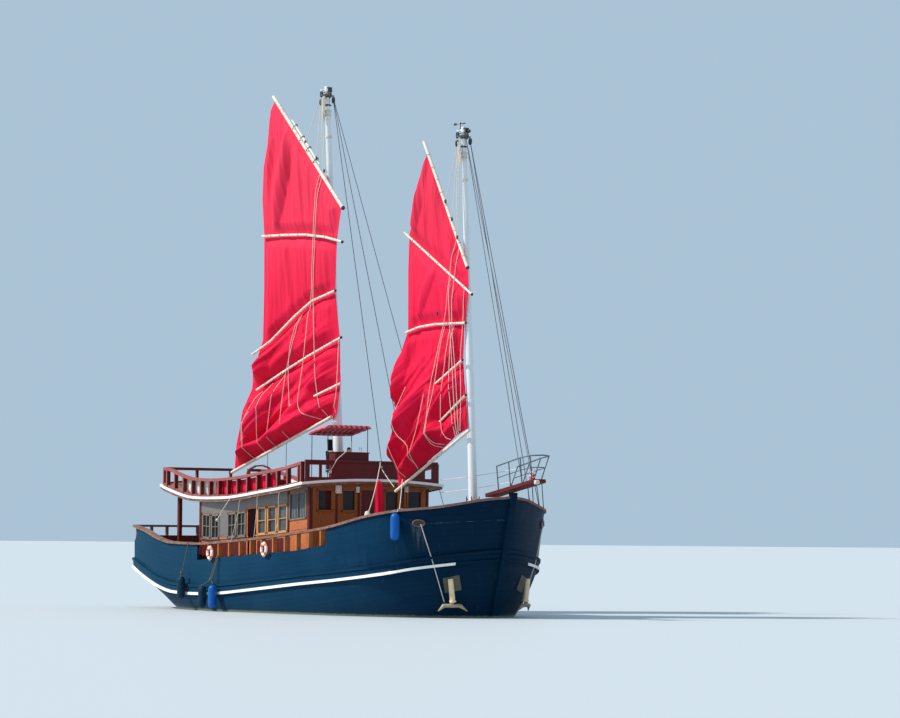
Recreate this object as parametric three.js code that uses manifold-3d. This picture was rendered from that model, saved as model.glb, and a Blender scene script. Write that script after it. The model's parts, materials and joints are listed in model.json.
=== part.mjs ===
// A two-masted junk-rigged cruise ship, afloat, with both sails set.
// Sizes and places are written in metres, and the helpers turn them into meshes in millimetres.
// +X is forward, +Y is port, +Z is up. The origin is on the centreline at the waterline, abreast
// of the foot of the main mast.
import * as THREE from 'three';
import { mergeVertices } from 'three/addons/utils/BufferGeometryUtils.js';
import Module from 'manifold-3d';

const wasm = await Module();
wasm.setup();

const group = new THREE.Group();
const MM = 1000;

// Each finish: colour, roughness, metalness.
const FINISHES = {
  hullBlue: [0x1b4a70, 0.45, 0.0],
  keelBrown: [0x3a2a22, 0.7, 0.0],
  mahogany: [0x6a2620, 0.45, 0.0],
  weathered: [0x84695a, 0.75, 0.0],
  teak: [0x9a6a3a, 0.6, 0.0],
  varnish: [0xb0682a, 0.35, 0.0],
  white: [0xe9e7df, 0.45, 0.0],
  mastGrey: [0xc9ccd0, 0.5, 0.0],
  spar: [0xd9cdb4, 0.7, 0.0],
  sail: [0xd8182f, 0.85, 0.0],
  canopy: [0xb83a4a, 0.85, 0.0],
  steel: [0xa9adb0, 0.35, 0.9],
  rusty: [0x8a7a62, 0.7, 0.5],
  bronze: [0xa67c3c, 0.35, 0.9],
  fenderBlue: [0x1767b8, 0.5, 0.0],
  fenderDark: [0x143a5a, 0.5, 0.0],
  wire: [0x5d6368, 0.5, 0.6],
};

// Tables and curves

const vec = (point) => new THREE.Vector3(...point);

// Even places from one value to another.
const spread = (from, to, count) => Array.from({ length: count + 1 },
  (_, i) => from + (to - from) * i / count);

// Every x at which straight lines through some tables bend, between two places.
function bends(from, to, ...tables) {
  const inside = tables.flat().map((row) => row[0]).filter((x) => x > from && x < to);
  return [...new Set([from, ...inside, to])].sort((a, b) => a - b);
}

// The row of a table at or after a key, between its first and last rows.
function rowAfter(rows, key) {
  const found = rows.findIndex((row) => row[0] >= key);
  return found < 0 ? rows.length - 1 : Math.max(found, 1);
}

const held = (rows, key) => THREE.MathUtils.clamp(key, rows[0][0], rows.at(-1)[0]);

// A straight-line look-up in rows of [key, value, ...] with rising keys.
function look(rows, wanted, column = 1) {
  const key = held(rows, wanted);
  const i = rowAfter(rows, key);
  const share = (key - rows[i - 1][0]) / (rows[i][0] - rows[i - 1][0]);
  return THREE.MathUtils.lerp(rows[i - 1][column], rows[i][column], share);
}

// The same along a smooth curve through the rows, which never overshoots them.
function smooth(rows, wanted, column = 1) {
  const last = rows.length - 1;
  const key = held(rows, wanted);
  const i = rowAfter(rows, key);
  const slope = (k) => (rows[k][column] - rows[k - 1][column]) / (rows[k][0] - rows[k - 1][0]);
  const tangent = (k) => {
    if (k === 0) return slope(1);
    if (k === last) return slope(last);
    const before = slope(k);
    const after = slope(k + 1);
    return before * after > 0 ? 2 * before * after / (before + after) : 0;
  };
  const step = rows[i][0] - rows[i - 1][0];
  const t = (key - rows[i - 1][0]) / step;
  return rows[i - 1][column] * (1 + 2 * t) * (1 - t) ** 2
    + rows[i][column] * t * t * (3 - 2 * t)
    + step * (tangent(i - 1) * t * (1 - t) ** 2 - tangent(i) * t * t * (1 - t));
}

// Meshes

function add(name, geometry, finish) {
  const [color, roughness, metalness] = FINISHES[finish];
  const mesh = new THREE.Mesh(geometry, new THREE.MeshStandardMaterial({ color, roughness, metalness }));
  mesh.name = name;
  group.add(mesh);
}

// A closed mesh from points in metres, with its faces turned to look outwards.
function fromTriangles(points, triangles) {
  let volume = 0;
  for (const [a, b, c] of triangles) {
    volume += vec(points[a]).dot(vec(points[b]).cross(vec(points[c])));
  }
  const facing = volume > 0 ? triangles : triangles.map(([a, b, c]) => [a, c, b]);
  const geometry = new THREE.BufferGeometry();
  const places = points.flat().map((value) => value * MM);
  geometry.setAttribute('position', new THREE.Float32BufferAttribute(places, 3));
  geometry.setIndex(facing.flat());
  return geometry;
}

// An end cap cut to the ring's own outline.
function flatCap(ring) {
  const places = ring.map(vec);
  const normal = new THREE.Vector3();
  places.forEach((place, j) => {
    normal.add(new THREE.Vector3().crossVectors(place, places[(j + 1) % places.length]));
  });
  normal.normalize();
  const u = Math.abs(normal.z) < 0.9 ? new THREE.Vector3(0, 0, 1) : new THREE.Vector3(1, 0, 0);
  u.addScaledVector(normal, -u.dot(normal)).normalize();
  const w = new THREE.Vector3().crossVectors(normal, u);
  return THREE.ShapeUtils.triangulateShape(
    places.map((place) => new THREE.Vector2(place.dot(u), place.dot(w))), []);
}

// An end cap in rungs across a ring that starts on the centreline: point j faces point count - j.
function ladderCap(ring) {
  const count = ring.length;
  const triangles = [[0, 1, count - 1]];
  for (let j = 1; 2 * j < count - 1; j++) {
    triangles.push([j, j + 1, count - j - 1], [j, count - j - 1, count - j]);
  }
  return triangles;
}

// Closed rings of equal length, skinned from one to the next.
function skin(rings, capOf = flatCap) {
  const count = rings[0].length;
  const last = (rings.length - 1) * count;
  const triangles = capOf(rings[0]).map(([a, b, c]) => [a, c, b]);
  for (let start = 0; start < last; start += count) {
    for (let j = 0; j < count; j++) {
      const a = start + j;
      const b = start + (j + 1) % count;
      triangles.push([a, b, b + count], [a, b + count, a + count]);
    }
  }
  triangles.push(...capOf(rings.at(-1)).map((corners) => corners.map((corner) => corner + last)));
  return fromTriangles(rings.flat(), triangles);
}

function solid(geometry) {
  let plain = geometry.clone();
  plain.deleteAttribute('normal');
  plain.deleteAttribute('uv');
  plain = mergeVertices(plain, 1e-3);
  return new wasm.Manifold(new wasm.Mesh({
    numProp: 3,
    vertProperties: new Float32Array(plain.attributes.position.array),
    triVerts: new Uint32Array(plain.index.array),
  }));
}

function geometryOf(manifold) {
  const mesh = manifold.getMesh();
  const geometry = new THREE.BufferGeometry();
  const places = new Float32Array(mesh.numVert * 3);
  for (let i = 0; i < mesh.numVert; i++) {
    for (let k = 0; k < 3; k++) places[3 * i + k] = mesh.vertProperties[mesh.numProp * i + k];
  }
  geometry.setAttribute('position', new THREE.BufferAttribute(places, 3));
  geometry.setIndex(new THREE.BufferAttribute(new Uint32Array(mesh.triVerts), 1));
  return geometry;
}

const union = (...pieces) => geometryOf(pieces.map(solid).reduce((a, b) => a.add(b)));

const cut = (geometry, ...tools) => geometryOf(
  tools.map(solid).reduce((a, b) => a.subtract(b), solid(geometry)));

function box([x0, x1], [y0, y1], [z0, z1]) {
  const geometry = new THREE.BoxGeometry((x1 - x0) * MM, (y1 - y0) * MM, (z1 - z0) * MM);
  geometry.translate((x0 + x1) / 2 * MM, (y0 + y1) / 2 * MM, (z0 + z1) / 2 * MM);
  return geometry;
}

// A range of `size` about a middle value, for box().
const about = (middle, size) => [middle - size / 2, middle + size / 2];

// A round bar from a to b, tapering from radius r0 to r1.
function bar(a, b, r0, r1 = r0, sides = 8) {
  const from = vec(a);
  const run = vec(b).sub(from);
  const geometry = new THREE.CylinderGeometry(r1 * MM, r0 * MM, run.length() * MM, sides);
  geometry.translate(0, run.length() / 2 * MM, 0);
  geometry.applyQuaternion(new THREE.Quaternion().setFromUnitVectors(
    new THREE.Vector3(0, 1, 0), run.clone().normalize()));
  geometry.translate(from.x * MM, from.y * MM, from.z * MM);
  return geometry;
}

// A rectangular board from a to b: `wide` along the direction `across`, `thick` square to it.
function board(a, b, across, wide, thick) {
  const from = vec(a);
  const to = vec(b);
  const along = to.clone().sub(from).normalize();
  const side = vec(across);
  side.addScaledVector(along, -side.dot(along)).normalize();
  const up = new THREE.Vector3().crossVectors(along, side);
  const ring = (centre) => [[-1, -1], [1, -1], [1, 1], [-1, 1]].map(([s, t]) => centre.clone()
    .addScaledVector(side, s * wide / 2).addScaledVector(up, t * thick / 2).toArray());
  return skin([ring(from), ring(to)]);
}

// A round rod along a route of points, bent like pipe.
function pipe(route, radius, sides = 6) {
  const places = route.map(vec);
  const last = places.length - 1;
  let normal = new THREE.Vector3(0, 0, 1);
  const rings = places.map((place, i) => {
    const tangent = places[Math.min(i + 1, last)].clone().sub(places[Math.max(i - 1, 0)]).normalize();
    normal = normal.clone().addScaledVector(tangent, -normal.dot(tangent)).normalize();
    const other = new THREE.Vector3().crossVectors(tangent, normal);
    return Array.from({ length: sides }, (_, j) => {
      const angle = 2 * Math.PI * j / sides;
      return place.clone().addScaledVector(normal, radius * Math.cos(angle))
        .addScaledVector(other, radius * Math.sin(angle)).toArray();
    });
  });
  return skin(rings);
}

// A round solid on an upright axis from a profile of [radius, height], closed on the axis.
function turned(profile, x, y, z, sides = 16) {
  const points = profile.map(([radius, height]) => new THREE.Vector2(radius * MM, height * MM));
  const geometry = new THREE.LatheGeometry(points, sides);
  geometry.rotateX(Math.PI / 2);
  geometry.translate(x * MM, y * MM, z * MM);
  return geometry;
}

// The mirror image of a port piece.
function toStarboard(port) {
  const geometry = port.clone();
  geometry.scale(1, -1, 1);
  const turns = [...geometry.index.array];
  for (let i = 0; i < turns.length; i += 3) [turns[i], turns[i + 1]] = [turns[i + 1], turns[i]];
  geometry.setIndex(turns);
  return geometry;
}

function addPair(name, port, finish) {
  add(`${name}_port`, port, finish);
  add(`${name}_starboard`, toStarboard(port), finish);
}

// Hull lines

const AFT_END = -11;
const FORE_END = 10.74;

// Half-breadths of the hull by station. `x` is the place along the rail, and the lower levels
// are pulled in towards the raked stem and the counter by STEM and STERN.
const STATIONS = [
  // x, keel, bottom, bilge, water, topside, wale, rail
  [AFT_END, 0, 0.07, 0.10, 0.20, 0.92, 2.29, 2.30],
  [-10.0, 0, 0.09, 0.30, 1.02, 1.80, 2.64, 2.62],
  [-8.5, 0, 0.20, 0.85, 1.95, 2.52, 3.04, 2.98],
  [-7.0, 0, 0.35, 1.30, 2.70, 3.05, 3.32, 3.25],
  [-4.5, 0, 0.85, 2.25, 3.35, 3.52, 3.62, 3.56],
  [-2.0, 0, 1.20, 2.72, 3.60, 3.72, 3.78, 3.72],
  [1.0, 0, 1.30, 2.85, 3.65, 3.78, 3.86, 3.82],
  [4.5, 0, 1.05, 2.55, 3.42, 3.70, 3.84, 3.84],
  [6.5, 0, 0.75, 2.05, 3.05, 3.48, 3.76, 3.80],
  [7.6, 0, 0.50, 1.65, 2.80, 3.25, 3.62, 3.68],
  [8.4, 0, 0.40, 1.35, 2.50, 3.00, 3.30, 3.40],
  [9.0, 0, 0.34, 1.15, 2.15, 2.65, 2.92, 2.94],
  [9.6, 0, 0.26, 0.85, 1.65, 2.05, 2.24, 2.20],
  [10.1, 0, 0.19, 0.55, 1.10, 1.35, 1.48, 1.44],
  [10.5, 0, 0.13, 0.30, 0.55, 0.66, 0.74, 0.72],
  [FORE_END, 0, 0.10, 0.10, 0.11, 0.12, 0.12, 0.12],
];
const LEVELS = ['keel', 'bottom', 'bilge', 'water', 'topside', 'wale', 'rail'];
const STEM = { keel: 8.90, bottom: 9.00, bilge: 9.35, water: 9.68, topside: 9.93, wale: 10.2,
  rail: FORE_END };
const STERN = { keel: -9.9, bottom: -9.95, bilge: -10.0, water: -10.15, topside: -10.55, wale: -10.98,
  rail: AFT_END };
const RAKE_STARTS = { fore: 5, aft: -7 };

// Heights along the ship: [x, z].
const RAIL_TOP = [[AFT_END, 3.35], [-9.35, 3.14], [-8.05, 2.86], [-6.83, 2.70], [-4.5, 2.66], [-2.5, 2.74],
  [0, 2.89], [2.04, 3.06], [4.5, 3.31], [6.84, 3.72], [8.3, 3.94], [9.2, 4.05], [9.9, 4.22],
  [10.35, 4.37], [FORE_END, 4.46]];
const WALE_FOOT = [[AFT_END, 1.60], [-9.2, 1.19], [-7.6, 0.83], [-6.3, 0.65], [-4.5, 0.61], [-2.9, 0.65],
  [0, 0.86], [2.7, 1.09], [5.3, 1.29], [7.87, 1.53], [9.0, 1.74], [10.1, 1.96], [FORE_END, 2.10]];
const KEEL_LINE = [[AFT_END, -0.25], [-10, -0.45], [-8.5, -0.75], [-7, -1.2], [-4.5, -1.45], [-2, -1.5],
  [FORE_END, -1.5]];
const GAP_FOOT = [[-4.5, 1.97], [-2.0, 2.14], [0.5, 2.28], [2.5, 2.40], [4.5, 2.63]];
const DECK = [[AFT_END, 2.30], [-8, 1.95], [-4.5, 1.70], [0, 1.98], [4.5, 2.36], [5, 2.40]];
const FOREDECK = [[4.5, 2.85], [7, 3.20], [9, 3.42], [FORE_END, 3.60]];

// The places along the rail at which every lengthwise piece of the hull has a section.
const FRAMES = [...spread(AFT_END, 8, 38), ...spread(8, FORE_END, 11).slice(1)];
const DECK_STEP = 4.6;
const SUDDEN = 0.004;
const CAP = { thick: 0.09, inside: 0.18, outside: 0.08, clear: 0.003 };
const BULWARK = { thick: 0.10, clear: 0.001 };
const SEAM = 0.0005;
const GAP_ENDS = [-4.5, 4.5];
// The bulwark slopes down to the stern corner, under the cap.
const NOTCH = { from: -10.35, to: -10.95, deep: 0.55 };

function levelX(level, x) {
  const { fore, aft } = RAKE_STARTS;
  if (x > fore) return fore + (x - fore) * (STEM[level] - fore) / (FORE_END - fore);
  if (x < aft) return aft + (x - aft) * (STERN[level] - aft) / (AFT_END - aft);
  return x;
}

const railTop = (x) => smooth(RAIL_TOP, x);
const bulwarkTop = (x) => railTop(x) - CAP.thick;
const deckHeight = (x) => look(x > DECK_STEP ? FOREDECK : DECK, x);

function levelZ(level, x) {
  const keel = smooth(KEEL_LINE, x);
  const wale = smooth(WALE_FOOT, x);
  return {
    keel, bottom: 0.9 * keel, bilge: 0.53 * keel, water: 0,
    topside: 0.5 * wale, wale, rail: bulwarkTop(x),
  }[level];
}

// A point of the hull's outside on the port side, at station x.
const hullPoint = (level, x) => [levelX(level, x), smooth(STATIONS, x, 1 + LEVELS.indexOf(level)),
  levelZ(level, x)];

// The half-breadth of the rail at a place along the ship.
const railBreadth = (x) => smooth(STATIONS, x, 1 + LEVELS.indexOf('rail'));

// The hull below the foot of the wale, at height z abreast of station x.
function bodyPoint(x, z) {
  const rows = LEVELS.slice(0, -1).map((level) => {
    const [px, py, pz] = hullPoint(level, x);
    return [pz, px, py];
  });
  return [look(rows, z, 1), smooth(rows, z, 2), z];
}

// The topsides at height z abreast of station x, between the foot of the wale and the rail.
function sidePoint(x, z) {
  const low = hullPoint('wale', x);
  const high = hullPoint('rail', x);
  const share = (z - low[2]) / (high[2] - low[2]);
  return [THREE.MathUtils.lerp(low[0], high[0], share), THREE.MathUtils.lerp(low[1], high[1], share), z];
}

// The sideways direction, square to the plan of the topsides at station x.
function outward(x) {
  const reach = 0.2;
  const height = 2.4;
  const a = sidePoint(Math.max(x - reach, AFT_END), height);
  const b = sidePoint(Math.min(x + reach, FORE_END), height);
  const length = Math.hypot(b[0] - a[0], b[1] - a[1]);
  return [(a[1] - b[1]) / length, (b[0] - a[0]) / length];
}

// A list of sections with extra ones put in, in order.
const withSteps = (frames, extra) => [...frames, ...extra].sort((a, b) => a - b);

const WALE = { high: 0.42, proud: 0.055, moulding: 0.10, mouldingProud: 0.10, clear: 0.004 };
const STOCK = { x: -9.62, bore: 0.075, radius: 0.06, top: 0.35 };

// The hull is solid up to its decks, and the bulwarks stand on it.
function buildHull() {
  const ring = ([x, deck]) => {
    const heights = [];
    LEVELS.slice(1, -1).forEach((level, i) => {
      heights.push((levelZ(LEVELS[i], x) + levelZ(level, x)) / 2, levelZ(level, x));
    });
    const side = [...heights.map((z) => bodyPoint(x, z)),
      sidePoint(x, levelZ('wale', x) + WALE.high), sidePoint(x, deck)];
    return [hullPoint('keel', x), ...side, ...side.map(([px, py, pz]) => [px, -py, pz]).reverse()];
  };
  // the step up to the foredeck stands just ahead of the bulwarks' own step
  const step = DECK_STEP + 1.5 * SUDDEN;
  const sections = [...FRAMES.map((x) => [x, deckHeight(x)]),
    [step, look(DECK, step)], [step + SUDDEN, look(FOREDECK, step)]].sort((a, b) => a[0] - b[0]);
  const trunk = bar([STOCK.x, 0, -2], [STOCK.x, 0, STOCK.top], STOCK.bore, STOCK.bore, 16);
  add('hull', cut(skin(sections.map(ring), ladderCap), trunk), 'hullBlue');
}
buildHull();

// Keel, stem timber, skeg and heel in one backbone.
const BACKBONE = { half: 0.14, foot: -1.95, heelEnd: -10.15, heelTop: -1.80, postStation: -9, shaftZ: -1.22,
  stemDeep: 0.16, head: 4.60, clear: 0.002 };

function buildBackbone() {
  const b = BACKBONE;
  const post = levelX('keel', b.postStation);
  const front = LEVELS.map((level) => hullPoint(level, FORE_END)).map(([x, , z]) => [x, z]);
  const outline = [[b.heelEnd, b.foot], [8.2, b.foot],
    ...front.map(([x, z]) => [x + b.stemDeep, z]),
    [FORE_END + b.stemDeep + 0.02, b.head], [FORE_END + b.clear, b.head],
    ...front.map(([x, z]) => [x + b.clear, z]).reverse()];
  for (const x of FRAMES.filter((x) => x >= b.postStation && x <= 8).reverse()) {
    const [px, , pz] = hullPoint('keel', x);
    outline.push([px, pz - b.clear]);
  }
  outline.push([post, b.heelTop], [b.heelEnd, b.heelTop]);
  const shape = new THREE.Shape(outline.map(([x, z]) => new THREE.Vector2(x * MM, z * MM)));
  const geometry = new THREE.ExtrudeGeometry(shape, { depth: 2 * b.half * MM, bevelEnabled: false });
  geometry.rotateX(Math.PI / 2);
  geometry.translate(0, b.half * MM, 0);
  const bore = 0.062;
  const shaftHole = bar([-9, 0, b.shaftZ], [-7.5, 0, b.shaftZ], bore, bore, 16);
  const heelHole = bar([STOCK.x, 0, -1.85], [STOCK.x, 0, -1.5], bore, bore, 16);
  add('backbone', cut(geometry, shaftHole, heelHole), 'keelBrown');
}
buildBackbone();

// What is cut from the ends of the wales and caps to leave room for the stem timber.
const stemRoom = (x0, z0, z1) => box([x0, 11.4], [-1, BACKBONE.half + 0.005], [z0, z1]);

function buildWales() {
  const w = WALE;
  // Round the section: [height above the foot, out from the hull].
  const section = [[0, w.clear], [w.high, w.clear], [w.high, w.mouldingProud],
    [w.high - w.moulding, w.mouldingProud], [w.high - w.moulding - 0.01, w.proud],
    [w.moulding + 0.01, w.proud], [w.moulding, w.mouldingProud], [0, w.mouldingProud]];
  const rings = FRAMES.map((x) => {
    const [nx, ny] = outward(x);
    return section.map(([high, out]) => {
      const [px, py, pz] = sidePoint(x, levelZ('wale', x) + high);
      return [px + nx * out, py + ny * out, pz];
    });
  });
  addPair('wale', cut(skin(rings), stemRoom(STEM.wale, 1.9, 2.8)), 'hullBlue');
}
buildWales();

function bulwarkHeight(x) {
  if (x >= GAP_ENDS[0] && x <= GAP_ENDS[1]) return look(GAP_FOOT, x);
  const share = THREE.MathUtils.clamp((NOTCH.from - x) / (NOTCH.from - NOTCH.to), 0, 1);
  return bulwarkTop(x) - NOTCH.deep * share;
}

function buildBulwarks() {
  const b = BULWARK;
  const stations = withSteps(FRAMES, [NOTCH.from, NOTCH.to, GAP_ENDS[0] - SUDDEN, GAP_ENDS[1] + SUDDEN,
    DECK_STEP, DECK_STEP + SUDDEN]);
  const rings = stations.map((x) => {
    const [nx, ny] = outward(x);
    const foot = sidePoint(x, deckHeight(x) + b.clear);
    const top = sidePoint(x, bulwarkHeight(x));
    const inner = ([px, py, pz]) => [px - nx * b.thick, Math.max(py - ny * b.thick, SEAM), pz];
    return [foot, top, inner(top), inner(foot)];
  });
  const top = bulwarkHeight(AFT_END);
  const transom = box([AFT_END, AFT_END + b.thick], [SEAM, 2.2], [deckHeight(AFT_END) + b.clear, top]);
  addPair('bulwark', union(skin(rings), transom), 'hullBlue');
}
buildBulwarks();

// The cap over the bulwark, with the boards that stand athwartships in the side gap.
const GAP_BOARD = { first: -3.59, pitch: 0.778, count: 11, thick: 0.07, deep: 0.20 };
const STERN_POSTS = [0.75, 1.5];

function buildRailCaps() {
  const clear = CAP.clear;
  const rings = FRAMES.map((x) => {
    const [nx, ny] = outward(x);
    const [px, py, pz] = sidePoint(x, bulwarkTop(x));
    const place = (out, lift) => [px + nx * out, Math.max(py + ny * out, SEAM), pz + clear + lift];
    return [place(-CAP.inside, 0), place(CAP.outside, 0), place(CAP.outside, CAP.thick),
      place(-CAP.inside, CAP.thick)];
  });
  const underside = bulwarkTop(AFT_END) + clear;
  const parts = [skin(rings),
    box([AFT_END - 0.08, AFT_END + 0.14], [SEAM, 2.3], [underside, underside + CAP.thick])];
  const sternFoot = bulwarkHeight(AFT_END) + clear;
  for (const y of STERN_POSTS) {
    parts.push(box([AFT_END, AFT_END + 0.1], about(y, 0.10), [sternFoot, underside + 0.02]));
  }
  parts.push(box([AFT_END + 0.02, AFT_END + 0.10], [2.10, 2.24],
    [bulwarkHeight(AFT_END + 0.12) + clear, underside + 0.02]));
  for (const x of spread(GAP_BOARD.first, GAP_BOARD.first + GAP_BOARD.pitch * (GAP_BOARD.count - 1),
    GAP_BOARD.count - 1)) {
    const y = railBreadth(x) - BULWARK.thick / 2;
    const foot = look(GAP_FOOT, x + GAP_BOARD.thick / 2) + clear;
    parts.push(box(about(x, GAP_BOARD.thick), about(y, GAP_BOARD.deep), [foot, railTop(x) - CAP.thick / 2]));
  }
  addPair('rail_cap', cut(union(...parts), stemRoom(FORE_END - 0.002, 4, 5)), 'weathered');
}
buildRailCaps();

// Bow

const PLATFORM = { aft: [9.55, 4.50], tip: [12.35, 5.02], half: 0.30, thick: 0.14 };
const platformTop = (x) => look([PLATFORM.aft, PLATFORM.tip], x) + PLATFORM.thick / 2;

function buildBow() {
  const p = PLATFORM;
  add('bow_platform', board([p.aft[0], 0, p.aft[1]], [p.tip[0], 0, p.tip[1]], [0, 1, 0],
    2 * p.half, p.thick), 'mahogany');
  // Posts of the pulpit: foot x, foot y, height. They lean forward and outwards.
  const posts = [[10.30, 0.27, 0.84], [11.0, 0.27, 0.86], [11.65, 0.26, 0.88], [12.18, 0.22, 0.86]];
  const lean = { fore: 0.16, out: 0.22 };
  const onPost = ([x, y, high], side, share) => [x + lean.fore * share, side * (y + lean.out * share),
    platformTop(x) + 0.012 + high * share];
  const nose = (share) => [posts[3][0] + lean.fore * share + 0.22, 0,
    platformTop(posts[3][0]) + 0.012 + 0.88 * share];
  const loop = (share) => [...posts.map((post) => onPost(post, 1, share)), nose(share),
    ...posts.map((post) => onPost(post, -1, share)).reverse()];
  const parts = [pipe(loop(1), 0.022), pipe(loop(0.5), 0.014)];
  for (const side of [1, -1]) {
    for (const post of posts) parts.push(bar(onPost(post, side, 0), onPost(post, side, 1), 0.018, 0.018, 6));
  }
  add('pulpit_rail', union(...parts), 'steel');
}
buildBow();

// Two posts and a crossbar each.
function buildBitts() {
  const timber = 0.18;
  const beam = 0.10;
  const bitts = [
    // name, x, foot, half the spacing, height, half the bar
    ['fore_bitts', 9.25, look(FOREDECK, 9.25) + 0.05, 0.35, 0.62, 0.60],
    ['stern_bitts', -10.4, look(DECK, -10.49) + 0.005, 0.30, 0.60, 0.50],
  ];
  for (const [name, x, z, half, high, reach] of bitts) {
    add(name, union(
      box(about(x, timber), about(-half, timber), [z, z + high]),
      box(about(x, timber), about(half, timber), [z, z + high]),
      box(about(x, beam), [-reach, reach], about(z + 0.68 * high, beam))), 'mahogany');
  }
}
buildBitts();

// A stockless anchor stowed against the bow, its shank up in the hawse plate.
function buildAnchors() {
  const station = 9.90;
  const [nx, ny] = outward(station);
  const at = (z, out, along = 0) => {
    const [x, y] = bodyPoint(station, z);
    return [x + nx * out - ny * along, y + ny * out + nx * along, z];
  };
  const crown = 0.46;
  const half = 0.34;
  const flukes = [-0.30, 0.30].map((along) => bar(at(crown, 0.42, along), at(0.26, 0.40, along * 1.8),
    0.08, 0.014, 6));
  addPair('anchor', union(bar(at(crown, 0.42), at(1.42, 0.17), 0.075, 0.06, 10),
    bar(at(crown, 0.42, -half), at(crown, 0.42, half), 0.07, 0.07, 8), ...flukes), 'rusty');
}
buildAnchors();

// Rudder and propeller

function buildSternGear() {
  const z = BACKBONE.shaftZ;
  const blade = board([STOCK.x - 0.36, 0, -1.76], [STOCK.x - 0.30, 0, -0.72], [1, 0, 0], 1.02, 0.07);
  const stock = bar([STOCK.x, 0, -1.84], [STOCK.x, 0, STOCK.top - 0.05], STOCK.radius, STOCK.radius, 16);
  add('rudder', union(blade, stock), 'keelBrown');
  const discX = -8.89;
  const shaft = 0.034;
  const hub = bar([discX - 0.13, 0, z], [discX + 0.13, 0, z], 0.085, 0.095, 16);
  const bore = bar([discX - 0.01, 0, z], [-8.6, 0, z], shaft + 0.002, shaft + 0.002, 16);
  const blades = spread(0, 1.5 * Math.PI, 3).map((angle) => {
    const [c, s] = [Math.cos(angle), Math.sin(angle)];
    const at = (r) => [discX, c * r, z + s * r];
    return board(at(0.06), at(0.43), [0.75, -s * 0.66, c * 0.66], 0.21, 0.016);
  });
  add('propeller', cut(union(hub, ...blades), bore), 'bronze');
  add('propeller_shaft', bar([discX + 0.03, 0, z], [-7.6, 0, z], shaft, shaft, 16), 'steel');
}
buildSternGear();

// Masts: foot and head are [x, z]

const MAIN_MAST = { foot: [0.235, 1.99], head: [-1.05, 20.6], rFoot: 0.22, rHead: 0.10 };
const FORE_MAST = { foot: [8.505, 3.36], head: [7.70, 18.27], rFoot: 0.175, rHead: 0.085 };
const mastShare = (mast, z) => (z - mast.foot[1]) / (mast.head[1] - mast.foot[1]);
const mastAt = (mast, z) => [THREE.MathUtils.lerp(mast.foot[0], mast.head[0], mastShare(mast, z)), 0, z];
const mastRadius = (mast, z) => THREE.MathUtils.lerp(mast.rFoot, mast.rHead, mastShare(mast, z));

function buildMasts() {
  for (const [name, mast] of [['main_mast', MAIN_MAST], ['fore_mast', FORE_MAST]]) {
    const footClear = 0.035;
    const top = mast.head[1];
    const bandRadius = mast.rHead + 0.07;
    const [x, , z] = mastAt(mast, top - 0.16);
    add(name, union(
      bar([mast.foot[0], 0, mast.foot[1] + footClear], mastAt(mast, top), mast.rFoot, mast.rHead, 20),
      bar(mastAt(mast, top - 0.22), mastAt(mast, top - 0.10), bandRadius, bandRadius, 16),
      bar([x, -0.30, z], [x, 0.30, z], 0.035)), 'mastGrey');
  }
}
buildMasts();

// Upper deck

const UPPER_AFT = -8.88;
const UPPER_FRONT = 2.2;
const UPPER = [
  // x, half-breadth, height of the top at the side
  [UPPER_AFT, 2.36, 4.97], [-8.2, 2.67, 4.87], [-7.4, 2.78, 4.71], [-6.5, 2.86, 4.54], [-5.8, 2.92, 4.46],
  [-4.6, 3.02, 4.43], [-3.2, 3.13, 4.44], [-2.2, 3.18, 4.50], [-0.8, 3.24, 4.64], [1.0, 3.30, 4.81],
  [UPPER_FRONT, 3.32, 4.97],
];
const UPPER_FRAMES = spread(UPPER_AFT, UPPER_FRONT, 20);
const UPPER_DECK = { thick: 0.13, crown: 0.16 };
const BAND = { wide: 0.07, high: 0.03, low: -0.07, foot: -0.17, moulding: 0.035, clear: 0.004 };
const upperBreadth = (x) => smooth(UPPER, x, 1);
const upperTop = (x, y = 0) => smooth(UPPER, x, 2)
  + UPPER_DECK.crown * (1 - (y / upperBreadth(x)) ** 2);
const upperUnder = (x, y) => upperTop(x, y) - UPPER_DECK.thick;
const DECK_SHARES = spread(-1, 1, 8);

function buildUpperDeck() {
  const ring = (x) => {
    const half = upperBreadth(x);
    const high = DECK_SHARES.map((share) => [x, share * (half - BAND.clear), upperTop(x, share * half)]);
    const low = high.map(([px, py, pz]) => [px, py, pz - UPPER_DECK.thick]);
    return [...low, ...high.reverse()];
  };
  const hole = MAIN_MAST.rFoot + 0.03;
  const mastHole = bar(mastAt(MAIN_MAST, 3.0), mastAt(MAIN_MAST, 6.5), hole, hole, 20);
  add('upper_deck', cut(skin(UPPER_FRAMES.map(ring)), mastHole), 'teak');
}

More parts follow.
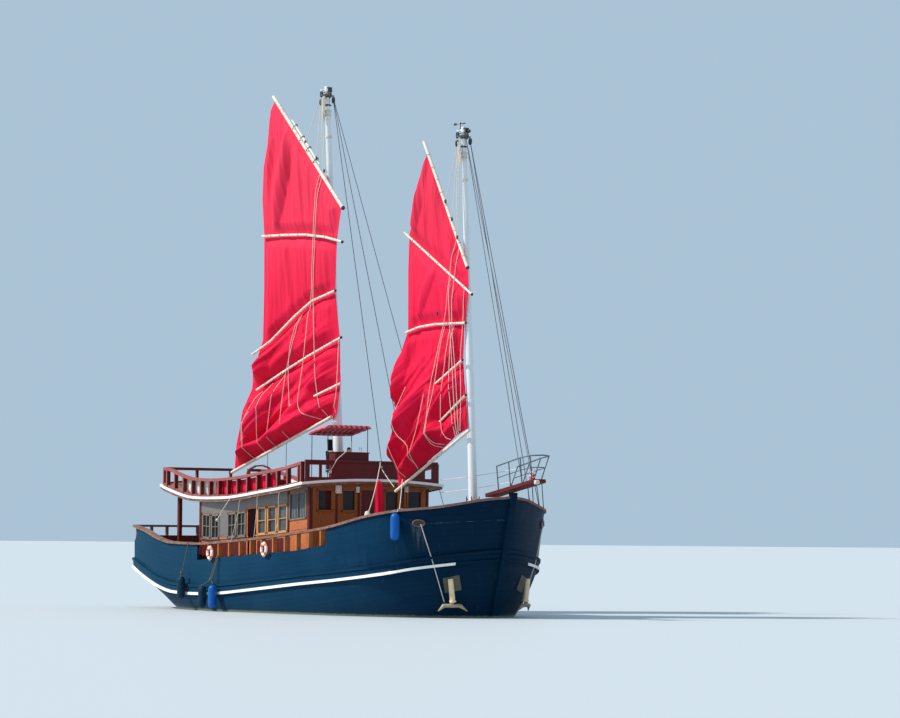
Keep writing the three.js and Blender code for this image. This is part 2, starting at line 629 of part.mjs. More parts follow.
// The white band round the deck's edge, over a set-back moulding.
function buildDeckBand() {
  const b = BAND;
  // Round the section: [out from the deck's edge, up from its top].
  const section = [[0, b.foot], [b.moulding, b.foot], [b.moulding, b.low], [b.wide, b.low],
    [b.wide, b.high], [0, b.high]];
  const side = skin(UPPER_FRAMES.map((x) => section.map(([out, up]) => [x, upperBreadth(x) + out,
    upperTop(x, upperBreadth(x)) + up])));
  const end = (x, facing) => {
    const half = upperBreadth(x);
    return skin(DECK_SHARES.map((share) => section.map(([out, up]) => [x + facing * (out + b.clear),
      share * (half + out), upperTop(x, share * half) + up])));
  };
  const parts = [side, toStarboard(side), end(UPPER_FRONT, 1), end(UPPER_AFT, -1)];
  // corner blocks close the band where the sides meet the ends
  for (const [x, facing] of [[UPPER_FRONT, 1], [UPPER_AFT, -1]]) {
    const half = upperBreadth(x);
    const z = upperTop(x, half);
    const ends = [x - facing * 0.03, x + facing * (b.clear + b.wide)].sort((p, q) => p - q);
    const corner = box(ends, [half + 0.004 + (facing < 0 ? 0.02 : 0), half + b.wide],
      [z + b.low, z + b.high]);
    parts.push(corner, toStarboard(corner));
  }
  add('deck_edge_band', union(...parts), 'white');
}
buildUpperDeck();
buildDeckBand();

// Sails: the spars are poles on the starboard face of the cloth. Routes run from aft to fore.

const MAIN_SPARS = [
  // name, radius, route of [x, z]
  ['main_yard', 0.075, [[-4.16, 20.45], [0.62, 15.68]]],
  ['main_batten_1', 0.05, [[-4.85, 14.9], [-3.35, 14.86], [-1.92, 14.79], [-0.57, 14.62], [0.59, 14.36]]],
  ['main_batten_2', 0.05, [[-5.46, 10.19], [-4.18, 10.68], [-2.54, 11.6], [-1.4, 12.15], [0.16, 12.49]]],
  ['main_batten_3', 0.05, [[-5.12, 8.76], [-2.99, 9.53], [-1.37, 10.07], [0.57, 10.65]]],
  ['main_batten_4', 0.05, [[-6.07, 7.14], [-3.51, 7.82], [-1.14, 8.42], [0.58, 8.87]]],
  ['main_boom', 0.065, [[-6.82, 5.48], [-0.02, 7.58]]],
];
const FORE_SPARS = [
  ['fore_yard', 0.065, [[5.7, 17.87], [8.44, 12.95]]],
  ['fore_batten_1', 0.045, [[4.52, 14.49], [8.71, 11.94]]],
  ['fore_batten_2', 0.045, [[4.66, 10.68], [5.51, 10.86], [6.44, 10.92], [7.36, 10.91], [8.35, 10.9]]],
  ['fore_batten_3', 0.045, [[4.81, 7.74], [5.24, 8.02], [8.17, 9.53]]],
  ['fore_batten_4', 0.045, [[5.21, 6.19], [6.34, 6.96], [8.38, 8.22]]],
  ['fore_boom', 0.06, [[4.1, 4.67], [8.62, 6.92]]],
];
// Cloth edges from the peak down: [x, z].
const MAIN_LEECH = [[-4.25, 20.45], [-4.78, 19.17], [-5.07, 17.67], [-5.12, 16.38], [-4.95, 14.92],
  [-4.91, 12.76], [-4.91, 10.76], [-5.35, 10.21], [-5.73, 9.5], [-5.64, 8.81], [-6.23, 7.99], [-6.36, 7.26],
  [-6.7, 6.62], [-6.82, 5.54]];
const MAIN_LUFF = [[-4.1, 20.33], [0.47, 15.73], [0.2, 14.46], [0.1, 12.52], [0.42, 10.67], [0.39, 8.89],
  [0.17, 7.77], [-0.06, 7.54]];
const FORE_LEECH = [[5.61, 17.86], [5.13, 16.45], [4.68, 14.89], [4.5, 14.44], [4.55, 13.07], [4.52, 10.75],
  [3.9, 9.97], [3.69, 8.99], [3.74, 7.96], [3.88, 7.2], [3.64, 6.33], [3.58, 5.79], [4.03, 5.41], [4.1, 4.8]];
const FORE_LUFF = [[5.7, 17.7], [8.31, 12.98], [8.35, 12.05], [8.12, 10.91], [8.05, 9.53], [8.22, 8.3],
  [8.36, 7.0]];
const SAIL = { clothThick: 0.06, clearMast: 0.035, clearSpar: 0.006, strips: 24 };

// The place at a share of an edge's length.
function alongEdge(edge, share) {
  let run = 0;
  const rows = edge.map(([x, z], i) => {
    if (i) run += Math.hypot(x - edge[i - 1][0], z - edge[i - 1][1]);
    return [run, x, z];
  });
  return [look(rows, share * run, 1), look(rows, share * run, 2)];
}

function buildSail(name, spars, leech, luff, mast) {
  const near = -(mast.rFoot * 0.93 + SAIL.clearMast);
  const far = near - SAIL.clothThick;
  const sparY = far - SAIL.clearSpar - Math.max(...spars.map((spar) => spar[1]));
  for (const [spar, radius, route] of spars) {
    add(spar, pipe(route.map(([x, z]) => [x, sparY, z]), radius, 8), 'spar');
  }
  const rings = spread(0, 1, SAIL.strips).map((share) => {
    const [ax, az] = alongEdge(leech, share);
    const [bx, bz] = alongEdge(luff, share);
    return [[ax, far, az], [bx, far, bz], [bx, near, bz], [ax, near, az]];
  });
  add(name, skin(rings), 'sail');
}
buildSail('main_sail', MAIN_SPARS, MAIN_LEECH, MAIN_LUFF, MAIN_MAST);
buildSail('fore_sail', FORE_SPARS, FORE_LEECH, FORE_LUFF, FORE_MAST);

// Shrouds end on channels, short planks that stand out from the topsides below the rail cap.

const CHANNEL = { out: 0.28, edge: 0.31, thick: 0.07, long: 0.24, clear: 0.012 };
const STAY = { radius: 0.014, belowHead: 0.36, collar: 0.05, collarClear: 0.012, arm: 0.30, armWide: 0.10 };

function channel(middle, drop) {
  const z = railTop(middle) - drop;
  const section = (x) => {
    const root = sidePoint(x, z)[1] + CHANNEL.clear;
    const edge = root + CHANNEL.edge;
    const [low, high] = about(z, CHANNEL.thick);
    return [[x, root, low], [x, edge, low], [x, edge, high], [x, root, high]];
  };
  return skin(about(middle, CHANNEL.long).map(section));
}

const channelFoot = (x, drop) => {
  const z = railTop(x) - drop;
  return [x, sidePoint(x, z)[1] + CHANNEL.out, z];
};

// `feet` are on port only, because the sails hang on the starboard side and no shroud crosses them.
// `middle` ones stand on the centreline. `drop` is how far the channels are below the top of the rail.
function buildStays(name, mast, { feet, drop, middle }) {
  const z = mast.head[1] - STAY.belowHead;
  const centre = mastAt(mast, z);
  const radius = mastRadius(mast, z);
  const collar = radius + STAY.collar;
  const bore = radius + STAY.collarClear;
  const places = [...feet.map((x) => channelFoot(x, drop)), ...middle];
  // shrouds hang from the ends of a crosstree, and stays to the bow from the collar
  const stays = places.map((foot) => {
    const [x] = centre;
    const head = foot[1] === 0 ? [x + radius + 0.03, 0, z] : [x, STAY.arm - 0.03, z];
    return bar(head, foot, STAY.radius, STAY.radius, 6);
  });
  const crosstree = box(about(centre[0], STAY.armWide), [-STAY.arm, STAY.arm], about(z, 0.05));
  const planks = feet.map((x) => channel(x, drop));
  const whole = union(bar(mastAt(mast, z - 0.05), mastAt(mast, z + 0.05), collar, collar, 16),
    crosstree, ...stays, ...planks);
  add(name, cut(whole, bar(mastAt(mast, z - 0.2), mastAt(mast, z + 0.2), bore, bore, 16)), 'wire');
}

buildStays('main_stays', MAIN_MAST, { feet: [-1.73, 0.07, 2.2], drop: 0.78, middle: [] });
buildStays('fore_stays', FORE_MAST, { feet: [7.1, 7.7], drop: 0.42,
  middle: [11.35, 11.95].map((x) => [x, 0, platformTop(x) + 0.03]) });

// Deckhouse

const HOUSE = { aft: -5.45, front: 2.03, half: 2.81, wall: 0.06, clear: 0.006, headClear: 0.016 };

// A flat wall in the X-Z plane from its outline and holes, or in the Y-Z plane when facing 'x'.
function wall(outline, holes, from, thick, facing) {
  const slab = (points, start, depth) => {
    const shape = new THREE.Shape(points.map(([a, b]) => new THREE.Vector2(a * MM, b * MM)));
    const geometry = new THREE.ExtrudeGeometry(shape, { depth: depth * MM, bevelEnabled: false });
    const turn = new THREE.Matrix4();
    if (facing === 'y') turn.set(1, 0, 0, 0, 0, 0, -1, (start + depth) * MM, 0, 1, 0, 0, 0, 0, 0, 1);
    else turn.set(0, 0, 1, start * MM, 1, 0, 0, 0, 0, 1, 0, 0, 0, 0, 0, 1);
    geometry.applyMatrix4(turn);
    return geometry;
  };
  const body = slab(outline, from, thick);
  return holes.length ? cut(body, ...holes.map((hole) => slab(hole, from - 0.1, thick + 0.2))) : body;
}
const pane = (a0, a1, b0, b1) => [[a0, b0], [a1, b0], [a1, b1], [a0, b1]];

// A tilted pane whose sill and head follow the deck.
function sheerPane(x0, x1, low, high) {
  const z = (x, h) => look(DECK, x) + h;
  return [[x0, z(x0, low)], [x1, z(x1, low)], [x1, z(x1, high)], [x0, z(x0, high)]];
}

const SIDE_WINDOWS = [
  // from x, to x, sill above the deck, head above the deck
  [-5.22, -4.72, 1.12, 2.02], [-4.60, -4.10, 1.12, 2.02], [-3.46, -2.92, 1.12, 2.02],
  [-2.80, -2.26, 1.12, 2.02], [-1.42, -0.88, 1.12, 2.12], [-0.74, -0.18, 1.12, 2.12],
  [-0.04, 0.54, 1.12, 2.12], [0.70, 1.78, 1.52, 2.52],
];
const SIDE_DOOR = { from: -2.14, to: -1.56, low: 0.10, high: 2.12 };
const FRONT_WINDOWS = [
  // middle y, half-width
  [-2.14, 0.34], [-1.02, 0.32], [1.02, 0.32], [2.14, 0.34],
];
const AFT_WINDOWS = [[-1.75, 0.45], [1.75, 0.45]];
const FRONT_PANE = { low: 3.92, high: 4.72 };
const AFT_PANE = { low: 2.95, high: 3.75 };
const FRONT_DOOR = { half: 0.40, low: 2.75, high: 4.72 };
const AFT_DOOR = { half: 0.42, low: 1.95, high: 3.98 };
const DOOR = { gap: 0.008, thick: 0.045 };

function buildHouse() {
  const h = HOUSE;
  const foot = (x) => look(DECK, x) + h.clear;
  const inside = (x) => x > h.aft && x < h.front;
  const sideOutline = [
    ...bends(h.aft, h.front, DECK).map((x) => [x, foot(x)]),
    ...[h.aft, ...UPPER_FRAMES.filter(inside), h.front].reverse()
      .map((x) => [x, upperUnder(x, h.half) - h.headClear]),
  ];
  const sideHoles = [...SIDE_WINDOWS.map((row) => sheerPane(...row)),
    sheerPane(SIDE_DOOR.from, SIDE_DOOR.to, SIDE_DOOR.low, SIDE_DOOR.high)];
  addPair('deckhouse', wall(sideOutline, sideHoles, h.half - h.wall, h.wall, 'y'), 'varnish');
  const edge = h.half - h.wall - 0.003;
  const crossWall = (x0, deckX, windows, paneRow, door) => {
    const roof = (y) => Math.min(upperUnder(x0, y), upperUnder(x0 + h.wall, y)) - h.headClear;
    const outline = [[-edge, foot(deckX) + 0.03], [edge, foot(deckX) + 0.03],
      ...spread(1, -1, 8).map((share) => [share * edge, roof(share * edge)])];
    const holes = [...windows.map(([y, half]) => pane(y - half, y + half, paneRow.low, paneRow.high)),
      pane(-door.half, door.half, door.low, door.high)];
    return wall(outline, holes, x0, h.wall, 'x');
  };
  add('deckhouse_front', crossWall(h.front - h.wall, h.front, FRONT_WINDOWS, FRONT_PANE, FRONT_DOOR),
    'varnish');
  add('deckhouse_aft', crossWall(h.aft, h.aft, AFT_WINDOWS, AFT_PANE, AFT_DOOR), 'varnish');
}

// Doors fill their openings, less a running gap.
function buildDoors() {
  const inset = (HOUSE.wall - DOOR.thick) / 2;
  const g = DOOR.gap;
  const side = sheerPane(SIDE_DOOR.from + g, SIDE_DOOR.to - g, SIDE_DOOR.low + g, SIDE_DOOR.high - g);
  const port = wall(side, [], HOUSE.half - HOUSE.wall + inset, DOOR.thick, 'y');
  add('port_door', port, 'mahogany');
  add('starboard_door', wall(side, [], -HOUSE.half + inset, DOOR.thick, 'y'), 'mahogany');
  const across = ({ half, low, high }, from) => wall(pane(-half + g, half - g, low + g, high - g), [],
    from + inset, DOOR.thick, 'x');
  add('front_door', across(FRONT_DOOR, HOUSE.front - HOUSE.wall), 'mahogany');
  add('aft_door', across(AFT_DOOR, HOUSE.aft), 'mahogany');
}
buildHouse();
buildDoors();

// Upper rail: a cap and a bottom rail with boards that stand athwartships between them

const UPPER_RAIL_TOP = [[-8.8, 5.68], [-7.9, 5.62], [-6.9, 5.38], [-5.7, 5.21], [-4.2, 5.18], [-2.9, 5.22],
  [-0.9, 5.40], [0.75, 5.56], [UPPER_FRONT, 5.80]];
const UPPER_RAIL = { inset: 0.11, capWide: 0.18, capThick: 0.11, lowWide: 0.12, lowThick: 0.08,
  boardThick: 0.08, boardDeep: 0.17, first: 1.853, pitch: 0.713, count: 15, aft: -8.76, fore: 2.08 };
// Where the aft rail has posts, and the ladder gap between the last two.
const AFT_RAIL_POSTS = [-0.8, 0.85, 1.75];

function buildUpperRail() {
  const r = UPPER_RAIL;
  const line = (x) => upperBreadth(x) - r.inset;
  const floor = (x, y) => upperTop(x, y) + 0.012;
  const top = (x) => smooth(UPPER_RAIL_TOP, x);
  const route = [r.aft, ...UPPER_FRAMES.filter((x) => x > r.aft + 0.1 && x < r.fore - 0.1), r.fore];
  const run = (wide, zOf) => skin(route.map((x) => {
    const [inner, outer] = about(line(x), wide);
    const [low, high] = zOf(x);
    return [[x, inner, low], [x, outer, low], [x, outer, high], [x, inner, high]];
  }));
  const lowRail = (x) => [floor(x, line(x)), floor(x, line(x)) + r.lowThick];
  const parts = [run(r.capWide, (x) => [top(x) - r.capThick, top(x)]), run(r.lowWide, lowRail)];
  const places = spread(r.first, r.first - r.pitch * (r.count - 1), r.count - 1);
  for (const x of [r.fore - r.boardThick / 2, ...places, r.aft + r.boardThick / 2]) {
    parts.push(box(about(x, r.boardThick), about(line(x), r.boardDeep),
      [floor(x, line(x) - r.boardDeep / 2) + 0.004, top(x) - 0.02]));
  }
  const sides = union(...parts);
  const [gapFrom, gapTo] = AFT_RAIL_POSTS.slice(-2);
  const corner = line(r.aft);
  const z = top(r.aft);
  const aft = [r.aft - 0.03, r.aft + 0.13];
  const across = [];
  for (const [y0, y1] of [[-corner, gapFrom + 0.05], [gapTo - 0.05, corner]]) {
    across.push(box(aft, [y0, y1], [z - r.capThick, z]));
  }
  // a toe board joins the two sides across the ladder gap
  across.push(skin(spread(-corner, corner, 8).map((y) => {
    const [low, high] = [floor(r.aft, y) + 0.01, floor(r.aft, y) + r.lowThick];
    return [[r.aft, y, low], [r.aft + 0.06, y, low], [r.aft + 0.06, y, high], [r.aft, y, high]];
  })));
  for (const y of AFT_RAIL_POSTS) {
    across.push(box([r.aft, r.aft + 0.10], about(y, 0.10), [floor(r.aft, y) + 0.004, z - 0.02]));
  }
  add('upper_rail', union(sides, toStarboard(sides), ...across), 'mahogany');
}

// A solid panel across the front of the upper deck, with open bays near its ends.
function buildFrontPanel() {
  const x = 2.13;
  const half = 3.15;
  const top = 5.82;
  const low = (y) => upperTop(x, y) + 0.03;
  const outline = [...spread(-half, half, 8).map((y) => [y, low(y)]), [half, top], [-half, top]];
  const bays = [[-2.95, -2.50], [-2.38, -1.95], [2.55, 2.95]];
  const holes = bays.map(([y0, y1]) => pane(y0, y1, 5.20, 5.66));
  const cap = box([x - 0.02, x + 0.09], [-half, half], [top - 0.05, top + 0.03]);
  add('front_panel', union(wall(outline, holes, x, 0.05, 'x'), cap), 'mahogany');
}

function buildPosts() {
  const x = -7.67;
  const y = 2.3;
  const wide = 0.15;
  addPair('post', box(about(x, wide), about(y, wide),
    [look(DECK, x - wide / 2) + 0.012, upperUnder(x, y + wide / 2) - 0.03]), 'mahogany');
}
buildUpperRail();
buildFrontPanel();
buildPosts();

// Helm, under a canopy on thin posts

const HELM = { x: 1.25, deep: 0.42, y: -0.60, half: 0.80, high: 1.10, axleUp: 0.72, wheelOff: 0.16,
  wheel: 0.34, spoke: 0.45 };
const CANOPY = { x: [0.36, 1.45], y: [-1.60, 0.33], z: [6.93, 7.19], hem: 0.05, lift: 0.021, thick: 0.02 };

function buildHelm() {
  const h = HELM;
  const deckZ = upperTop(h.x + h.deep, 0) + 0.03;
  const wheelZ = deckZ + h.axleUp;
  const wheelX = h.x - h.wheelOff;
  add('helm_console', union(
    box([h.x, h.x + h.deep], about(h.y, 2 * h.half), [deckZ, deckZ + h.high]),
    bar([h.x - 0.06, h.y, wheelZ], [h.x + 0.05, h.y, wheelZ], 0.05, 0.05, 12)), 'mahogany');
  const rim = new THREE.TorusGeometry(h.wheel * MM, 0.02 * MM, 8, 24);
  rim.rotateY(Math.PI / 2);
  rim.translate(wheelX * MM, h.y * MM, wheelZ * MM);
  const axle = bar([wheelX - 0.05, h.y, wheelZ], [wheelX + 0.085, h.y, wheelZ], 0.045, 0.045, 12);
  const spokes = spread(0, 1.75 * Math.PI, 7).map((angle) => bar([wheelX, h.y, wheelZ],
    [wheelX, h.y + h.spoke * Math.cos(angle), wheelZ + h.spoke * Math.sin(angle)], 0.014, 0.014, 6));
  add('helm_wheel', union(rim, axle, ...spokes), 'varnish');
}

function buildSeat() {
  const z = upperTop(0.2, 1.2) + 0.12;
  const y = [-1.05, -0.62];
  const cushion = box([0.50, 0.85], y, [z, z + 0.52]);
  add('helm_seat', union(cushion, box([0.44, 0.50], y, [z, z + 1.52])), 'mahogany');
}

function buildCanopy() {
  const c = CANOPY;
  const under = (x) => THREE.MathUtils.mapLinear(x, ...c.x, ...c.z);
  const rail = (a, b) => bar(a, b, 0.017, 0.017, 6);
  const corner = (x, y) => [x, y, under(x)];
  const [x0, x1] = c.x;
  const [y0, y1] = c.y;
  const inset = 0.02;
  const frame = [rail(corner(x0, y0), corner(x1, y0)), rail(corner(x0, y1), corner(x1, y1)),
    rail(corner(x0, y0), corner(x0, y1)), rail(corner(x1, y0), corner(x1, y1))];
  for (const x of [x0 + inset, x1 - inset]) {
    for (const y of [y0 + inset, y1 - inset]) frame.push(rail([x, y, upperTop(x, y) + 0.03], corner(x, y)));
  }
  add('canopy_frame', union(...frame), 'steel');
  const [aft, fore] = [x0 - c.hem, x1 + c.hem];
  const ring = (y) => [[aft, y, under(aft) + c.lift], [fore, y, under(fore) + c.lift],
    [fore, y, under(fore) + c.lift + c.thick], [aft, y, under(aft) + c.lift + c.thick]];
  add('canopy', skin([ring(y1 + c.hem), ring(y0 - c.hem)]), 'canopy');
}
buildHelm();
buildSeat();
buildCanopy();

// Deck furniture and fenders

function buildBench() {
  const foot = look(DECK, -9.9) + 0.03;
  const seat = look(DECK, -8.6) + 0.49;
  const legs = [-1.7, 1.7].map((y) => box([-9.9, -9.8], about(y, 0.2), [foot, seat]));
  add('aft_bench', union(box([-10.1, -9.55], [-1.9, 1.9], [seat - 0.06, seat]),
    box([-10.1, -10.04], [-1.9, 1.9], [seat - 0.03, seat + 0.42]), ...legs), 'mahogany');
}
buildBench();

const FENDERS = [
  // name, station, height of the top, length, radius, stand-off, finish
  ['fender_quarter_aft', -5.2, 1.36, 0.95, 0.16, 0.13, 'fenderDark'],
  ['fender_quarter_middle', -3.5, 1.02, 0.92, 0.16, 0.13, 'fenderDark'],
  ['fender_quarter_fore', -2.7, 1.06, 0.98, 0.17, 0.13, 'fenderBlue'],
  ['fender_bow', 8.35, 3.86, 1.08, 0.17, 0.04, 'fenderBlue'],
];
// Profile of a fender: [share of its radius, share of its length].
const FENDER_PROFILE = [[0, 0], [0.5, 0.02], [0.9, 0.12], [1, 0.22], [1, 0.78], [0.9, 0.88], [0.45, 0.96],
  [0.3, 1], [0, 1]];

function buildFenders() {
  for (const [name, station, top, length, radius, standOff, finish] of FENDERS) {
    const [x, y] = sidePoint(station, Math.max(top, 1.2));
    const [nx, ny] = outward(station);
    const out = radius + standOff;
    const profile = FENDER_PROFILE.map(([r, t]) => [r * radius, t * length]);
    add(name, turned(profile, x + nx * out, -(y + ny * out), top - length), finish);
  }
}
buildFenders();

function buildParasol() {
  const x = 3.6;
  const profile = [[0, 0], [0.03, 0], [0.03, 0.55], [0.11, 0.65], [0.15, 1.3], [0.10, 2.5], [0.03, 2.7],
    [0.02, 2.84], [0, 2.84]];
  add('folded_parasol', turned(profile, x, -0.73, look(DECK, x) + 0.02, 14), 'sail');
}
buildParasol();

export default group;
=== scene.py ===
# %% [markdown]
# # A two-masted junk, dressed for a picture
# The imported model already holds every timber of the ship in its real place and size. This lesson
# dresses it: painted planks, varnished joinery, creased sailcloth, rope and glass. Each step is one
# short cell that prints what it made. Lengths are in metres, +X is forward and +Z is up.

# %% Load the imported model
import json
import math

import bmesh
import bpy
from mathutils import Matrix, Vector, noise
from mathutils.bvhtree import BVHTree

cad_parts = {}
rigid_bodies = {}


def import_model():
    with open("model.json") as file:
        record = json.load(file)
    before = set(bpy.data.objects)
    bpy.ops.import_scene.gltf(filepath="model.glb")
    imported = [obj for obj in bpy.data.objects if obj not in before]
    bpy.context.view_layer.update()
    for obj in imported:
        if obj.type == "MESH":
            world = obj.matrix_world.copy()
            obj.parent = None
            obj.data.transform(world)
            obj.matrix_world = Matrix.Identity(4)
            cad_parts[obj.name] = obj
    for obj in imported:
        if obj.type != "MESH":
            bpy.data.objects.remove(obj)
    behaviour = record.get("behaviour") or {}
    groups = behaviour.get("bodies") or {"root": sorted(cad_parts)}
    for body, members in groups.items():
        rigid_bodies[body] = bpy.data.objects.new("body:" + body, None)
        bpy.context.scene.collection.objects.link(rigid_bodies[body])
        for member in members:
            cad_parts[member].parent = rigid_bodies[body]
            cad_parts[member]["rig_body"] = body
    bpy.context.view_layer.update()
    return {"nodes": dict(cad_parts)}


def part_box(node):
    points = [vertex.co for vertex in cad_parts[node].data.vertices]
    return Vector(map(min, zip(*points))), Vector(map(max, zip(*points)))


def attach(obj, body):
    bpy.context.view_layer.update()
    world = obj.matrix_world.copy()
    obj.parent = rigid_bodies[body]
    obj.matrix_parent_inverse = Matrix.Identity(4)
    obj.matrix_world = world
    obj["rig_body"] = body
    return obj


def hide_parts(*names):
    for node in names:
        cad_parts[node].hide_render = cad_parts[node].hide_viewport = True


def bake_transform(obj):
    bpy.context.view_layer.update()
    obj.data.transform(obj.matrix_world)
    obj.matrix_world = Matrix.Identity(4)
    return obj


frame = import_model()
nodes = frame["nodes"]
scene = bpy.context.scene

# %% [markdown]
# ## The camera
# A ship is photographed from far off with a long lens, so near and far parts keep almost the same
# scale. The camera stands 142 m away, 36 degrees off the starboard bow and a little above the
# water. A long lens at the true distance is chosen over a short one close by, because only that
# gives the same overlaps between masts, sails and rails.

# %% Camera
DISTANCE = 142.0
BEARING = math.radians(36)
EYE_HEIGHT = 3.1
IMAGE_WIDTH, IMAGE_HEIGHT = 900, 718
FOCAL_PIXELS = 3650.0
HORIZON_ROW, ORIGIN_COLUMN = 533.3, 340.0
ROLL = math.radians(0.46)
SENSOR = 36.0


def camera_axes():
    """The right, up and backward directions of the camera."""
    ahead = Vector((-math.cos(BEARING), math.sin(BEARING), 0))
    right = Vector((math.sin(BEARING), math.cos(BEARING), 0))
    up = Vector((0, 0, 1))
    pitch = math.atan((HORIZON_ROW - IMAGE_HEIGHT / 2) / FOCAL_PIXELS)
    yaw = math.atan((ORIGIN_COLUMN - IMAGE_WIDTH / 2) / FOCAL_PIXELS)
    level = ahead * math.cos(yaw) - right * math.sin(yaw)
    right = right * math.cos(yaw) + ahead * math.sin(yaw)
    view = level * math.cos(pitch) + up * math.sin(pitch)
    up = up * math.cos(pitch) - level * math.sin(pitch)
    rolled_right = right * math.cos(ROLL) + up * math.sin(ROLL)
    rolled_up = up * math.cos(ROLL) - right * math.sin(ROLL)
    return rolled_right, rolled_up, -view


lens = bpy.data.cameras.new("camera")
lens.sensor_width = SENSOR
lens.lens = FOCAL_PIXELS / IMAGE_WIDTH * SENSOR
lens.clip_start, lens.clip_end = 1.0, 3000.0
camera = bpy.data.objects.new("camera", lens)
scene.collection.objects.link(camera)
camera.matrix_world = Matrix(camera_axes()).transposed().to_4x4()
camera.location = (DISTANCE * math.cos(BEARING), -DISTANCE * math.sin(BEARING), EYE_HEIGHT)
scene.camera = camera
print("lens", round(lens.lens, 1), "mm")

# %% [markdown]
# ## Shader arithmetic
# A finish is a few patterns added and multiplied together. Wiring each Math node by hand hides the
# sum, so a small class wraps a socket and lets Python's own signs add the nodes. A second class
# holds a material while it is built, with one method that adds any node.

# %% Values and finishes


class Value:
    """An output socket that takes part in Python arithmetic."""

    def __init__(self, finish, socket):
        self.finish = finish
        self.socket = socket

    def math(self, operation, *others):
        inputs = dict(enumerate((self, *others)))
        return self.finish.node("ShaderNodeMath", {"operation": operation}, inputs)

    def __add__(self, other):
        return self.math("ADD", other)

    def __mul__(self, other):
        return self.math("MULTIPLY", other)

    def __sub__(self, other):
        return self.math("SUBTRACT", other)

    def __truediv__(self, other):
        return self.math("DIVIDE", other)

    def __rsub__(self, other):
        return (self * -1) + other

    __radd__ = __add__
    __rmul__ = __mul__

    def between(self, low, high):
        """0 below low, 1 above high, and smooth between."""
        settings = {"interpolation_type": "SMOOTHSTEP"}
        return self.finish.node("ShaderNodeMapRange", settings, {0: self, 1: low, 2: high})


class Finish:
    """A material while it is built, and the record's slot that it stands for."""

    def __init__(self, name, slot, roughness=0.5, metallic=0.0, **fixed):
        self.slot = slot
        self.material = bpy.data.materials.new(name)
        self.material.use_nodes = True
        self.tree = self.material.node_tree
        self.shader = self.tree.nodes["Principled BSDF"]
        self.feed(self.shader.inputs["Roughness"], roughness)
        self.feed(self.shader.inputs["Metallic"], metallic)
        for socket, value in fixed.items():
            self.feed(self.shader.inputs[socket.replace("_", " ")], value)

    def feed(self, socket, value):
        if isinstance(value, Value):
            self.tree.links.new(value.socket, socket)
        elif isinstance(value, tuple) and len(value) == 3 and socket.type == "RGBA":
            socket.default_value = (*value, 1.0)
        else:
            socket.default_value = value

    def node(self, kind, settings=None, inputs=None, output=0):
        made = self.tree.nodes.new(kind)
        for key, value in (settings or {}).items():
            setattr(made, key, value)
        for key, value in (inputs or {}).items():
            self.feed(made.inputs[key], value)
        return Value(self, made.outputs[output])

    def place(self):
        return self.node("ShaderNodeTexCoord", output="Object")

    def axes(self):
        split = self.node("ShaderNodeSeparateXYZ", None, {0: self.place()})
        return [Value(self, out) for out in split.socket.node.outputs]

    def stretched(self, scale):
        return self.node("ShaderNodeVectorMath", {"operation": "MULTIPLY"}, {0: self.place(), 1: scale})

    def noise(self, scale, stretch=(1, 1, 1), detail=3.0, roughness=0.5):
        inputs = {"Vector": self.stretched(stretch), "Scale": scale, "Detail": detail,
                  "Roughness": roughness}
        return self.node("ShaderNodeTexNoise", None, inputs)

    def mix(self, share, first, second):
        inputs = {0: share, 6: first, 7: second}
        return self.node("ShaderNodeMix", {"data_type": "RGBA"}, inputs, output=2)

    def colour(self, value):
        self.feed(self.shader.inputs["Base Color"], value)

    def rough(self, value):
        self.feed(self.shader.inputs["Roughness"], value)

    def bump(self, height, distance=0.01, strength=1.0):
        inputs = {"Height": height, "Distance": distance, "Strength": strength}
        self.feed(self.shader.inputs["Normal"], self.node("ShaderNodeBump", None, inputs))


print("Value and Finish are ready")

# %% [markdown]
# ## Hull paint
# The topsides are navy paint over wide planks. The planks run with the sheer, the long curve of the
# rail, so their seams are drawn at even heights above that curve and not above the water. Sun fades
# the paint in patches, rain leaves streaks under the cap, and a pale salt line marks the waterline.
# Below it the timber is dark. The seams are shallow, so they belong in a bump and not in the mesh.

# %% Hull paint
NAVY = (0.001, 0.025, 0.066)
# The faded navy is sun-faded paint and also painted light aft; the deep navy is painted shade at the bow.
NAVY_FADED_AND_SUNLIT = (0.007, 0.052, 0.098)
NAVY_BOW_SHADE = (0.001, 0.010, 0.024)
ANTIFOULING = (0.030, 0.045, 0.035)
SALT = (0.28, 0.33, 0.25)
PLANK = 0.19


def sheer_height(finish):
    """The height above the foot of the wale, whose curve is close to a cubic along the ship."""
    x, _, z = finish.axes()
    foot = ((x * -0.00043 + 0.00865) * x + 0.0736) * x + 0.755
    return x, z, z - foot


def plank_seams(finish, x, height, width, butt=5.2):
    """1 on plank seams and butts, else 0, and the number of the plank."""
    row = height / width
    number = row.math("FLOOR")
    seam = row.math("FRACT").math("PINGPONG", 0.5).between(0.035, 0.0)
    along = ((x + number * 1.93) / butt).math("FRACT").math("PINGPONG", 0.5)
    butts = along.between(0.0018, 0.0)
    return seam.math("MAXIMUM", butts), number


